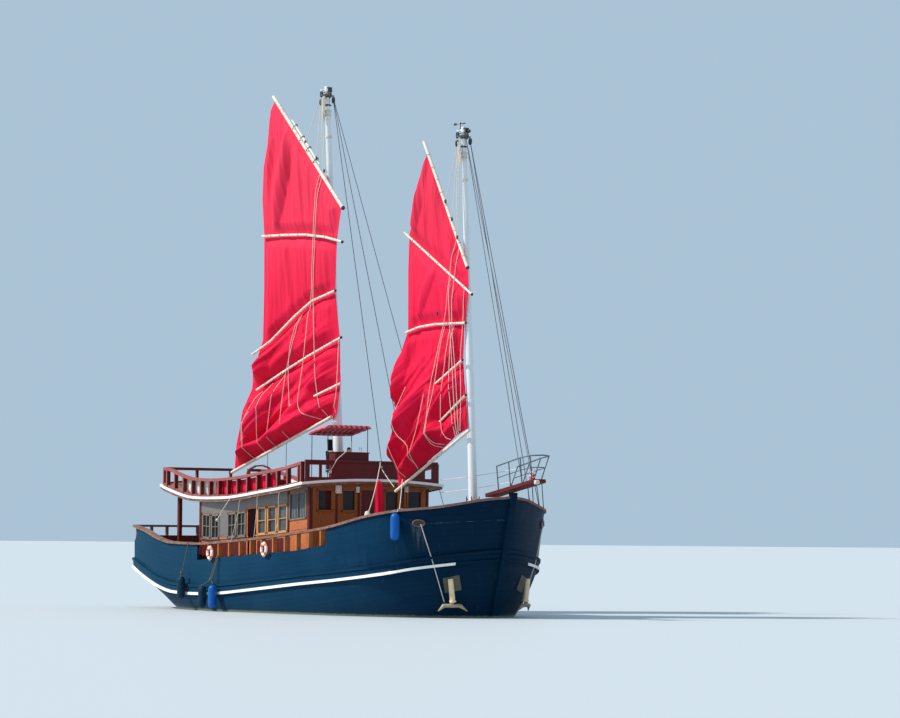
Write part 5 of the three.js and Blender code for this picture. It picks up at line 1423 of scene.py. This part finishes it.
# %% Ladder
ladder = bmesh.new()
LADDER_Y, LADDER_FOOT, LADDER_HEAD = (0.96, 1.64), Vector((-9.38, 0, 2.13)), Vector((-9.035, 0, 5.12))
for y in LADDER_Y:
    across = Vector((0, y, 0))
    board(ladder, LADDER_FOOT + across, LADDER_HEAD + across, (1, 0, 0), 0.11, 0.035)
TREADS = 10
for k in range(1, TREADS):
    at = LADDER_FOOT.lerp(LADDER_HEAD, k / TREADS)
    block(ladder, (at.x - 0.075, LADDER_Y[0], at.z - 0.014), (at.x + 0.075, LADDER_Y[1], at.z + 0.014))
piece(ladder, "aft_ladder", MAHOGANY_UP, bevel=0.005)
print("ladder of", TREADS - 1, "treads")

# %% [markdown]
# ## The sails
# The cloth hangs behind the spars and is partly lowered, so it isn't a flat panel: between two
# battens it bags to leeward, near them it gathers into creases, and at the foot it lies in fat rolls
# that fall over the lower battens. A cloth simulation would find folds, but not these folds. So the
# sail is a fine grid whose depth is a sum of three things: a belly between the battens, creases from
# stretched noise that run down the cloth and turn diagonal near the foot, and a short table of rolls.

# %% Sail edges and spars
MAIN = {
    "name": "main_sail", "body": "main_sail_rig", "face": -0.262, "limit": -0.245,
    "leech": [(-4.25, 20.45), (-4.58, 19.17), (-5.0, 17.67), (-5.05, 16.38), (-4.9, 14.92), (-4.87, 12.76),
              (-4.91, 10.76), (-5.2, 10.21), (-5.55, 9.5), (-5.64, 8.81), (-6.28, 7.99), (-6.48, 7.26),
              (-6.7, 6.62), (-6.82, 5.54)],
    "luff": [(-4.1, 20.33), (0.35, 15.85), (0.05, 14.46), (-0.03, 12.52), (0.30, 10.67), (0.39, 8.89),
             (0.17, 7.77), (-0.06, 7.54)],
    "spars": [[(-4.16, 20.45), (0.62, 15.68)],
              [(-4.85, 14.9), (-3.35, 14.86), (-1.92, 14.79), (-0.57, 14.62), (0.59, 14.36)],
              [(-5.46, 10.19), (-4.18, 10.68), (-2.54, 11.6), (-1.4, 12.15), (0.16, 12.49)],
              [(-5.12, 8.76), (-2.99, 9.53), (-1.37, 10.07), (0.57, 10.65)],
              [(-0.95, 8.47), (0.58, 8.87)],
              [(-6.82, 5.48), (-0.02, 7.58)]],
    "turn": (12.2, 9.6), "slope": 30,
    # middle x, middle z, slope in degrees, half length, half width, depth
    "rolls": [(-3.45, 17.3, 78, 2.5, 0.45, 0.34), (-4.3, 16.6, 84, 2.2, 0.40, -0.24),
              (-4.8, 9.45, 38, 1.1, 0.42, 0.30), (-4.6, 7.75, 36, 1.8, 0.62, 0.54),
              (-5.75, 6.35, 22, 1.3, 0.42, 0.34), (-3.2, 7.0, 22, 2.6, 0.40, 0.30),
              (-1.9, 8.1, 28, 1.6, 0.30, 0.16), (-4.3, 7.15, 26, 2.2, 0.17, -0.34),
              (-2.6, 9.0, 35, 1.8, 0.30, 0.18), (-3.4, 9.9, 32, 1.8, 0.26, 0.16)],
}
FORE = {
    "name": "fore_sail", "body": "fore_sail_rig", "face": -0.220, "limit": -0.203,
    "leech": [(5.66, 17.74), (5.74, 17.25), (5.40, 16.45), (4.88, 14.89), (4.68, 14.44), (4.62, 13.07),
              (4.65, 10.75), (4.22, 9.97), (3.95, 8.99), (3.81, 7.96), (4.55, 7.2), (4.10, 6.33),
              (3.85, 5.79), (4.1, 5.41), (4.1, 4.8)],
    "luff": [(5.7, 17.7), (8.31, 12.98), (8.35, 12.05), (8.12, 10.91), (8.05, 9.53), (8.22, 8.3),
             (8.36, 7.0)],
    "spars": [[(5.7, 17.87), (8.44, 12.95)], [(4.52, 14.49), (8.71, 11.94)],
              [(4.66, 10.68), (5.51, 10.86), (6.44, 10.92), (7.36, 10.91), (8.35, 10.9)],
              [(6.75, 8.80), (8.17, 9.53)], [(7.0, 7.36), (8.38, 8.22)], [(4.1, 4.67), (8.62, 6.92)]],
    "turn": (10.4, 8.6), "slope": 44,
    "rolls": [(5.3, 15.3, 75, 1.8, 0.35, 0.14), (5.9, 12.2, 62, 1.6, 0.30, 0.10),
              (4.5, 9.1, 72, 1.5, 0.55, 0.34), (5.0, 7.35, 50, 1.9, 0.55, 0.58),
              (4.25, 6.1, 62, 1.0, 0.50, 0.42), (5.4, 5.75, 40, 2.1, 0.36, 0.34),
              (6.9, 7.0, 42, 1.5, 0.34, 0.24), (5.2, 6.25, 46, 1.4, 0.17, -0.24)],
}
print(len(MAIN["rolls"]), "rolls on the main sail,", len(FORE["rolls"]), "on the fore sail")

# %% Depth of the cloth


def along(edge, share):
    """The place at a share of an edge's length, as (x, z)."""
    steps = [math.dist(a, b) for a, b in zip(edge, edge[1:])]
    left = share * sum(steps)
    for a, b, step in zip(edge, edge[1:], steps):
        if left <= step:
            t = left / step
            return a[0] + t * (b[0] - a[0]), a[1] + t * (b[1] - a[1])
        left -= step
    return edge[-1]


def gap_to(route, x, z):
    """The distance from a point to a route of points."""
    best = 99.0
    point = Vector((x, z))
    for a, b in zip(route, route[1:]):
        a, b = Vector(a), Vector(b)
        t = max(0.0, min(1.0, (point - a).dot(b - a) / (b - a).length_squared))
        best = min(best, (point - a.lerp(b, t)).length)
    return best


def smoothstep(low, high, value):
    t = max(0.0, min(1.0, (value - low) / (high - low)))
    return t * t * (3 - 2 * t)


def crease(s, t, seed):
    """Ridged noise in three sizes: s runs across the folds and t along them."""
    total = 0.0
    for size, run, share in ((1.3, 0.14, 0.52), (3.6, 0.26, 0.30), (9.5, 0.55, 0.10)):
        ridge = 1 - 2.5 * abs(noise.noise((s * size, t * run, seed + size)))
        total += share * ridge * (0.75 + 0.5 * noise.noise((s * 0.5, t * 0.5, seed + 3 + size)))
    return total


def cloth_depth(sail, x, z, across, seed):
    """How far the cloth stands out to starboard at a place on the sail."""
    near = min(gap_to(route, x, z) for route in sail["spars"])
    free = smoothstep(0.02, 0.55, near)
    high, low = sail["turn"]
    turn = smoothstep(high, low, z)
    edge = smoothstep(0.0, 0.16, across) * smoothstep(1.0, 0.86, across)
    angle = math.radians(sail["slope"])
    upright = x + 0.10 * (z - high)
    slanted = z * math.cos(angle) - x * math.sin(angle)
    ahead = x * math.cos(angle) + z * math.sin(angle)
    folds = (1 - turn) * crease(upright, z, seed) + turn * crease(slanted, ahead, seed + 20)
    belly = (0.16 + 0.20 * turn) * free * (0.06 + 0.94 * edge)
    depth = belly + (0.18 + 0.11 * turn) * (0.30 + 0.70 * free) * (0.16 + 0.84 * edge) * folds
    for mx, mz, slope, half_long, half_wide, deep in sail["rolls"]:
        c, s = math.cos(math.radians(slope)), math.sin(math.radians(slope))
        along_it = ((x - mx) * c + (z - mz) * s) / half_long
        across_it = ((z - mz) * c - (x - mx) * s) / half_wide
        away = along_it ** 2 + across_it ** 2
        if away < 1:
            depth += deep * (1 - away) ** 1.2 * free * (0.14 + 0.86 * edge)
    return depth


print("a point of the main sail stands", round(cloth_depth(MAIN, -3, 17, 0.5, 1), 3), "m out")

# %% Cloth
CLOTH_COLUMNS, CLOTH_ROWS = 128, 310
CLOTH_THICK = 0.006


def sail_cloth(sail, seed):
    """A grid from leech to luff, shaped by cloth_depth, with a thickness."""
    bm = bmesh.new()
    bmesh.ops.create_grid(bm, x_segments=CLOTH_COLUMNS, y_segments=CLOTH_ROWS, size=0.5)
    for vert in bm.verts:
        across, down = vert.co.x + 0.5, 0.5 - vert.co.y
        ax, az = along(sail["leech"], down)
        bx, bz = along(sail["luff"], down)
        x, z = ax + across * (bx - ax), az + across * (bz - az)
        depth = cloth_depth(sail, x, z, across, seed)
        vert.co = (x, min(sail["face"] - depth + 0.05, sail["limit"]), z)
    bmesh.ops.smooth_vert(bm, verts=bm.verts, factor=0.25, use_axis_y=True)
    area = sum(face.calc_area() for face in bm.faces)
    cloth = piece(bm, sail["name"] + "_cloth", SAILCLOTH, sail["body"], (sail["name"],), sharp=180,
                  outward=False)
    thicken(cloth, CLOTH_THICK, 0.0)
    return cloth, area


main_cloth, main_area = sail_cloth(MAIN, 1.0)
fore_cloth, fore_area = sail_cloth(FORE, 5.0)
print("cloth areas", round(main_area, 1), round(fore_area, 1), "square metres")

# %% [markdown]
# Both sails are cut from widths of cloth to a shape that is narrow at the peak.

# %% Sheets
print("sails made")

# %% [markdown]
# ## Dark ends and lashings
# The fore ends of the battens wear dark tips, and every spar is tied to the cloth with short
# lashings. A lashing is a small ring round the spar, so one loop over the spars makes them all.

# %% Spar tips and lashings
BATTEN_Y = {"main_sail_rig": -0.381, "fore_sail_rig": -0.329}
# body, tip place, radius
TIPS = [("main_sail_rig", (0.62, 15.68), 0.085), ("main_sail_rig", (0.59, 14.36), 0.062),
        ("main_sail_rig", (0.16, 12.49), 0.058), ("main_sail_rig", (0.57, 10.65), 0.058),
        ("fore_sail_rig", (8.44, 12.95), 0.072), ("fore_sail_rig", (8.71, 11.94), 0.055),
        ("fore_sail_rig", (8.35, 10.9), 0.053), ("fore_sail_rig", (8.17, 9.53), 0.053),
        ("fore_sail_rig", (8.38, 8.22), 0.053)]
for sail, label in ((MAIN, "main"), (FORE, "fore")):
    y = BATTEN_Y[sail["body"]]
    tips = bmesh.new()
    for body, (x, z), radius in TIPS:
        if body == sail["body"]:
            ball(tips, (x, y, z), radius)
    piece(tips, f"{label}_batten_tips", BLACK, sail["body"])
    lashings = bmesh.new()
    count = 0
    for route in sail["spars"]:
        length = sum(math.dist(a, b) for a, b in zip(route, route[1:]))
        steps = max(2, int(length / 0.55))
        for k in range(1, steps):
            x, z = along(route, k / steps)
            nx, nz = along(route, k / steps + 0.02)
            place = standing((x, y, z), (nx, y, nz))
            ring(lashings, place, 0.074 if route is sail["spars"][0] else 0.058, 0.011, 10, 5)
            count += 1
    piece(lashings, f"{label}_lashings", ROPE_PALE, sail["body"])
    print(label, "lashings:", count)

# %% [markdown]
# ## Mastheads and blocks
# A masthead carries a cap, a sheave box and a few blocks where the halyards turn. A block is a
# squashed round shell with a rope strop, so a turned profile does for all of them.

# %% Masthead fittings
MAIN_MAST = ((0.235, 1.99), (-1.05, 20.6), 0.22, 0.10)
FORE_MAST = ((8.505, 3.36), (7.70, 18.27), 0.175, 0.085)


def on_mast(mast, z):
    """The centre and radius of a mast at a height."""
    (fx, fz), (hx, hz), foot_radius, head_radius = mast
    share = (z - fz) / (hz - fz)
    return Vector((fx + share * (hx - fx), 0, z)), foot_radius + share * (head_radius - foot_radius)


BLOCK_PROFILE = [(0, -0.5), (0.35, -0.45), (0.5, -0.2), (0.5, 0.2), (0.35, 0.45), (0, 0.5)]


def pulley(bm, place, size=0.16):
    squash = Matrix.Diagonal((size * 0.7, size * 0.4, size, 1))
    turned(bm, BLOCK_PROFILE, Matrix.Translation(place) @ squash, 12)


for mast, label in ((MAIN_MAST, "main"), (FORE_MAST, "fore")):
    fittings = bmesh.new()
    top = mast[1][1]
    centre, _ = on_mast(mast, top - 0.14)
    block(fittings, centre + Vector((-0.16, -0.07, -0.10)), centre + Vector((0.24, 0.07, 0.09)))
    for drop in (0.42, 0.75):
        middle, radius = on_mast(mast, top - drop)
        ring(fittings, Matrix.Translation(middle), radius + 0.025, 0.028, 24, 8)
    for dx, dy, drop in ((-0.24, -0.10, 0.30), (0.26, -0.05, 0.36), (-0.16, -0.2, 0.62), (0.18, 0.16, 0.55)):
        middle, _ = on_mast(mast, top - drop)
        pulley(fittings, middle + Vector((dx, dy, 0)), 0.26)
    rod(fittings, centre, centre + Vector((0, 0, 0.13)), 0.02)
    piece(fittings, f"{label}_masthead", BLACK, bevel=0.006)
    collars = bmesh.new()
    for drop in (1.0, 1.15, 2.0):
        middle, radius = on_mast(mast, top - drop)
        turned(collars, [(radius, -0.05), (radius + 0.03, -0.04), (radius + 0.03, 0.04), (radius, 0.05)],
               Matrix.Translation(middle), 24)
    piece(collars, f"{label}_mast_collars", ROPE_PALE)
    foot, radius = on_mast(mast, mast[0][1] + 1.0)
    cleats = bmesh.new()
    for turn in (0.6, 2.2, 3.9, 5.4):
        out = Vector((math.cos(turn), math.sin(turn), 0)) * (radius + 0.03)
        rod(cleats, foot + out * 0.9, foot + out * 1.2, 0.022)
        rod(cleats, foot + out * 1.2 - Vector((0, 0, 0.11)), foot + out * 1.2 + Vector((0, 0, 0.11)), 0.018)
    piece(cleats, f"{label}_cleats", MAHOGANY_UP)
# the falls of a tackle lie so close that they show as one bundle: top, foot, radius
BUNDLES = [("main", (-0.95, -0.21, 20.2), (-0.95, -0.21, 19.2), 0.055),
           ("fore", (7.68, -0.20, 17.7), (7.82, -0.20, 16.9), 0.055)]
for label, top, foot, radius in BUNDLES:
    bundle = bmesh.new()
    for k in range(4):
        around = Vector((math.cos(1.57 * k), math.sin(1.57 * k), 0)) * radius * 0.6
        rod(bundle, Vector(top) + around, Vector(foot) + around, radius * 0.5, sides=8)
    piece(bundle, f"{label}_tackle_bundle", ROPE_PALE)
print("mastheads fitted")

# %% Yard doubling and vanes
YARD_Y = -0.381
# The doubling lies on the upper side of the yard: places of (x, z) on its middle line.
DOUBLING = [(-2.87, 19.40), (-1.92, 18.45), (-0.98, 17.50)]
doubling = bmesh.new()
for (ax, az), (bx, bz), start, end in zip(DOUBLING, DOUBLING[1:], (0.035, 0.06), (0.06, 0.035)):
    rod(doubling, (ax, YARD_Y, az), (bx, YARD_Y, bz), start, end, 14)
piece(doubling, "main_yard_doubling", SPAR, "main_sail_rig")
bands = bmesh.new()
for share in (0.12, 0.38, 0.62, 0.88):
    x, z = (a + share * (b - a) for a, b in zip(DOUBLING[0], DOUBLING[-1]))
    middle = Vector((x - 0.05, YARD_Y, z - 0.05))
    ring(bands, standing(middle, middle + Vector((0.07, 0, -0.07))), 0.088, 0.013, 24, 6, squash=1.7)
piece(bands, "main_yard_bands", BLACK, "main_sail_rig")
vane = bmesh.new()
rod(vane, (7.53, 0, 18.02), (7.52, 0, 18.42), 0.014)
rod(vane, (7.20, 0, 18.41), (7.74, 0, 18.40), 0.009)
FIN = [(7.10, 18.37), (7.30, 18.37), (7.27, 18.45), (7.13, 18.45)]
slab(vane, [(x, -0.004, z) for x, z in FIN], (0, 0.008, 0))
for turn in (0.3, 2.4, 4.5):
    cup = Vector((7.66 + 0.09 * math.cos(turn), 0.09 * math.sin(turn), 18.41))
    rod(vane, (7.66, 0, 18.40), cup, 0.006)
    ball(vane, cup, 0.030, 10, 6)
ball(vane, (8.05, 0, 18.09), 0.065, 16, 10)
rod(vane, (7.80, 0, 18.09), (8.05, 0, 18.09), 0.016)
piece(vane, "wind_vane", BLACK)
print("doubling and vane")

# %% [markdown]
# ## Running rigging
# Halyards hoist the yards, lazy jacks gather the cloth, and sheets and tackles lead to the deck. A
# rope with a load on it is straight, and one without hangs in a curve, so every run is a short list
# of points, rounded by a curve through them. Ropes on a sail ride with the sail. A rope from a boom
# to the deck is made a mesh of its own.

# %% Smooth rope runs


def rounded(points, steps=5):
    """More points along a smooth curve through the given ones."""
    pts = [Vector(p) for p in points]
    pts = [pts[0] * 2 - pts[1], *pts, pts[-1] * 2 - pts[-2]]
    run = []
    for a, b, c, d in zip(pts, pts[1:], pts[2:], pts[3:]):
        for k in range(steps):
            t = k / steps
            run.append(0.5 * (2 * b + (c - a) * t + (2 * a - 5 * b + 4 * c - d) * t * t
                              + (3 * b - a - 3 * c + d) * t ** 3))
    return run + [pts[-2]]


def draped(tree, *places, stand_off=0.022):
    """A run over the face of a sail from places of (x, z): it touches the crests and spans the hollows."""
    run = rounded([(x, 0, z) for x, z in places])
    for point in run:
        hit, _, _, _ = tree.ray_cast(Vector((point.x, -5, point.z)), Vector((0, 1, 0)))
        point.y = (hit.y if hit else -0.42) - stand_off
    for _ in range(40):
        for k in range(1, len(run) - 1):
            run[k].y = min(run[k].y, (run[k - 1].y + run[k + 1].y) / 2)
    return run


def cloth_tree(cloth):
    return BVHTree.FromPolygons([v.co.copy() for v in cloth.data.vertices],
                                [list(face.vertices) for face in cloth.data.polygons])


MAIN_JACKS = [
    [(-0.95, 17.1), (-1.10, 15.3), (-1.15, 12.9), (-1.05, 12.05), (-0.85, 10.2), (-0.62, 8.6), (-0.37, 7.62)],
    [(-1.08, 17.2), (-1.22, 15.3), (-1.28, 12.1), (-1.36, 11.6), (-1.50, 9.8), (-1.66, 8.3), (-1.45, 7.8),
     (-0.75, 7.5)],
    [(-2.30, 11.6), (-2.42, 10.6), (-2.45, 9.5), (-2.25, 8.15), (-2.1, 8.1)],
    [(-2.15, 11.7), (-2.30, 10.6), (-2.62, 9.4), (-2.75, 8.3), (-2.90, 6.72)],
    [(-5.32, 7.9), (-5.34, 6.8), (-5.38, 6.02)], [(-4.75, 8.7), (-5.1, 7.9), (-5.28, 7.0), (-5.40, 6.02)],
    [(-4.05, 9.0), (-4.21, 7.8), (-4.45, 6.9), (-4.60, 6.28)], [(-3.2, 9.4), (-3.5, 8.2), (-3.9, 6.5)],
    [(0.50, 10.6), (0.44, 9.5), (0.34, 8.4), (0.12, 7.75)],
]
FORE_JACKS = [
    [(7.66, 14.1), (7.50, 13.2), (7.45, 12.3), (7.55, 11.0), (7.80, 9.0), (8.02, 6.75)],
    [(7.82, 13.8), (7.70, 12.8), (7.64, 11.0), (7.90, 8.9), (8.10, 6.80)],
    [(7.30, 12.6), (7.20, 11.2), (7.03, 10.2), (6.70, 8.5), (6.74, 7.0), (6.85, 6.5), (7.10, 6.4)],
    [(7.02, 11.0), (6.93, 9.9), (6.88, 8.5), (6.70, 7.2), (6.80, 6.45), (6.95, 6.3)],
    [(7.34, 10.9), (7.35, 9.0), (7.27, 7.2), (7.42, 6.7), (7.64, 6.58)],
    [(7.55, 10.9), (7.62, 9.4), (7.78, 8.0), (7.94, 6.68)],
    [(5.0, 8.6), (4.99, 7.3), (5.15, 6.8), (5.72, 6.35), (5.60, 5.75)],
    [(6.3, 8.3), (6.05, 7.0), (5.80, 6.1), (5.66, 5.5)],
    [(4.6, 7.2), (4.62, 6.2), (4.78, 5.2)],
    [(8.12, 12.2), (8.10, 11.0), (8.0, 9.6), (8.12, 8.3), (8.2, 6.9)],
]
for label, cloth, runs, radius in (("main", main_cloth, MAIN_JACKS, 0.013),
                                   ("fore", fore_cloth, FORE_JACKS, 0.012)):
    tree = cloth_tree(cloth)
    lines(f"{label}_lazy_jacks", ROPE_PALE, radius, [draped(tree, *run) for run in runs], f"{label}_sail_rig")
print("lazy jacks on both sails")

# %% Ropes from the booms to the ship


def led(name, finish, radius, route):
    """A rope that leads from a sail's boom to the ship, made a mesh of its own."""
    drawn = lines(name, finish, radius, [route])
    mesh = bpy.data.meshes.new_from_object(drawn)
    bpy.data.objects.remove(drawn)
    obj = bpy.data.objects.new(name, mesh)
    scene.collection.objects.link(obj)
    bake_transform(obj)
    return obj


# name, body, finish, radius, end on the sail's spars, end on the ship, sag
LEADS = [
    ("main_sheet_aft", "main_sail_rig", ROPE_DARK, 0.012, (-4.25, -0.42, 6.22), (-4.25, -0.42, 4.66), 0.0),
    ("main_sheet_fore", "main_sail_rig", ROPE_DARK, 0.012, (-2.97, -0.42, 6.60), (-2.99, -0.42, 4.70), 0.0),
    ("fore_sheet", "fore_sail_rig", ROPE_PALE, 0.016, (4.10, -0.40, 4.84), (2.24, 0.39, 5.56), 0.01),
    ("fore_guy", "fore_sail_rig", ROPE_PALE, 0.016, (4.63, -0.40, 5.12), (8.45, -3.40, 3.97), 0.01),
    ("main_halyard", "main_sail_rig", ROPE_PALE, 0.014, (-1.89, -0.42, 18.40), (-1.26, -0.12, 20.25), 0.0),
    ("main_halyard_tail", "main_sail_rig", ROPE_PALE, 0.014, (-1.10, -0.44, 17.70), (-1.22, -0.16, 20.0),
     0.0),
    ("main_tackle", "main_sail_rig", ROPE_PALE, 0.016, (-0.50, -0.44, 17.10), (-1.05, -0.22, 20.1), 0.0),
    ("main_tackle_fall", "main_sail_rig", ROPE_PALE, 0.016, (-0.62, -0.46, 17.2), (-1.12, -0.22, 20.1), 0.0),
    ("fore_halyard", "fore_sail_rig", ROPE_PALE, 0.013, (7.12, -0.38, 15.45), (7.58, -0.12, 17.9), 0.0),
    ("fore_halyard_tail", "fore_sail_rig", ROPE_PALE, 0.013, (7.55, -0.40, 14.75), (7.60, -0.14, 17.7), 0.0),
    ("fore_tackle", "fore_sail_rig", ROPE_PALE, 0.016, (7.95, -0.40, 14.0), (7.68, -0.20, 17.7), 0.0),
    ("fore_tackle_fall", "fore_sail_rig", ROPE_PALE, 0.016, (7.85, -0.42, 14.1), (7.62, -0.20, 17.7), 0.0),
]
for name, body, finish, radius, sail_end, ship_end, sag in LEADS:
    led(name, finish, radius, sagging(sail_end, ship_end, sag, 20))
# a tackle runs through a block on the sail, which stands on its rope a little above the spar
for label, places in (("main", ((-1.89, -0.42, 18.45), (-1.10, -0.44, 17.75), (-0.56, -0.45, 17.2))),
                      ("fore", ((7.12, -0.38, 15.5), (7.55, -0.40, 14.8), (7.90, -0.41, 14.1),
                                (7.12, -0.72, 11.28)))):
    blocks = bmesh.new()
    for place in places:
        pulley(blocks, place, 0.15)
    piece(blocks, f"{label}_sail_blocks", BLACK, f"{label}_sail_rig")
print(len(LEADS), "ropes between the sails and the ship")

# %% Ropes fast to the ship
lines("fixed_ropes", ROPE_PALE, 0.017, [
    [(1.69, -0.87, 6.22), (2.24, -1.73, 5.88), (2.25, -2.05, 5.42)],
    [(-2.72, -3.24, 4.40), (-3.05, -3.40, 3.9), (-3.22, -3.50, 3.55)],
])
FAST_TREE = tree_of("deck_edge_band", "rail_cap_starboard", "front_panel")


def fast_to_ship(place, radius):
    """The place moved so that a rope of that radius just touches the nearest timber."""
    place = Vector(place)
    touch, _, _, _ = FAST_TREE.find_nearest(place)
    return touch + (place - touch).normalized() * radius


def slack_rope(name, radius, route):
    """A rope with both ends fast to the ship; the length of its run is printed."""
    route = [fast_to_ship(route[0], radius), *route[1:-1], fast_to_ship(route[-1], radius)]
    made = lines(name, ROPE_PALE, radius, [route])
    length = sum((b - a).length for a, b in zip(route, route[1:]))
    print(name, round(length, 2), "m long")


# the knot on the rail cap where the rope over the foredeck ends
RAIL_KNOT = cap_top(6.88, -3.70)
slack_rope("foredeck_rope", 0.017, sagging((2.25, 0.33, 5.80), RAIL_KNOT + Vector((0, 0, 0.03)), 0.035, 24))
# from the edge of the upper deck down to the rail cap
SLACK_LINES = [
    [(-2.06, -3.26, 4.30), (-2.02, -3.36, 3.78), (-1.98, -3.66, 2.82)],
    [(-0.78, -3.32, 4.42), (-0.70, -3.38, 4.01), (-0.30, -3.78, 2.90)],
    [(0.75, -3.36, 4.58), (0.79, -3.42, 4.32), (1.03, -3.60, 3.55), (1.12, -3.80, 3.02)],
]
for number, route in enumerate(SLACK_LINES, 1):
    slack_rope(f"slack_line_{number}", 0.009, rounded(route, 8))
knots = bmesh.new()
for place, size in (((2.26, -2.05, 5.40), 0.055), ((-3.22, -3.50, 3.55), 0.06), ((2.25, 0.36, 5.62), 0.05)):
    tied(knots, place, size * 0.7, size * 0.4)
# the cap rises by about 10 degrees where the rope's turns lie on it
CAP_PITCH = Matrix.Rotation(math.radians(-10), 4, "Y")
for turn_no in range(4):
    lift = Matrix.Translation(RAIL_KNOT + Vector((0, 0, 0.024 + 0.036 * turn_no)))
    ring(knots, lift @ CAP_PITCH, 0.13 - 0.012 * turn_no, 0.022, 20, 8, squash=0.6)
piece(knots, "rope_knots", ROPE_PALE)
print("ropes fast to the ship")

# %% [markdown]
# ## The foot of the shrouds
# Each wire ends above its channel in a bottle screw. They stand at the same places as the wires in
# the CAD model: a ray at the hull's side finds the channel, and the mast gives the wire's direction.

# %% Bottle screws
# foot x, how far its channel is below the top of the rail
SHROUD_FEET = [(-1.73, 0.78), (0.07, 0.78), (2.2, 0.78), (7.1, 0.42), (7.7, 0.42)]
screws = bmesh.new()
for x, drop in SHROUD_FEET:
    z = look(RAIL_TOP, x) - drop
    side, _ = hull_side(x, z, PORT)
    foot = Vector((x, side.y + 0.28, z + 0.03))
    mast = MAIN_MAST if x < 5 else FORE_MAST
    head, _ = on_mast(mast, mast[1][1] - 0.36)
    up = (head + Vector((0, 0.27, 0)) - foot).normalized()
    rod(screws, foot + up * 0.10, foot + up * 0.42, 0.028)
    rod(screws, foot + up * 0.42, foot + up * 0.52, 0.020)
    rod(screws, foot, foot + up * 0.10, 0.022)
piece(screws, "bottle_screws", CHROME)
print(len(SHROUD_FEET), "bottle screws")

# %% [markdown]
# ## Floor and light
# The floor stands in for calm water at the waterline: plain, pale and matt. The real light is a high
# hazy sun on the starboard side with a bright sky all round. A large soft sun and an even sky give
# that, because small lamps would cut hard shadows into the folds.

# %% Floor
FLOOR_RADIUS = 900
floor_bm = bmesh.new()
bmesh.ops.create_circle(floor_bm, cap_ends=True, segments=96, radius=FLOOR_RADIUS)
floor_mesh = bpy.data.meshes.new("floor")
floor_bm.to_mesh(floor_mesh)
floor_bm.free()
floor = bpy.data.objects.new("floor", floor_mesh)
scene.collection.objects.link(floor)
floor_finish = Finish("floor", "white_paint", 0.6)
floor_finish.colour((0.52, 0.56, 0.58))
floor_mesh.materials.append(floor_finish.material)

# %% Light
SKY, SKY_STRENGTH = (0.50, 0.665, 0.82), 0.82
SUNLIGHT, SUN_STRENGTH, SUN_DISC = (1.0, 0.965, 0.91), 4.1, math.radians(3)
SUN_WAY = (0.34, 0.62, -0.70)
scene.view_settings.view_transform = "Standard"
sun = bpy.data.lights.new("sun", "SUN")
sun.energy, sun.angle, sun.color = SUN_STRENGTH, SUN_DISC, SUNLIGHT
sun_lamp = bpy.data.objects.new("sun", sun)
sun_lamp.rotation_euler = Vector(SUN_WAY).to_track_quat("-Z", "Y").to_euler()
scene.collection.objects.link(sun_lamp)
world = bpy.data.worlds.new("sky")
world.use_nodes = True
world.node_tree.nodes["Background"].inputs["Color"].default_value = (*SKY, 1)
world.node_tree.nodes["Background"].inputs["Strength"].default_value = SKY_STRENGTH
scene.world = world
print("floor and light")
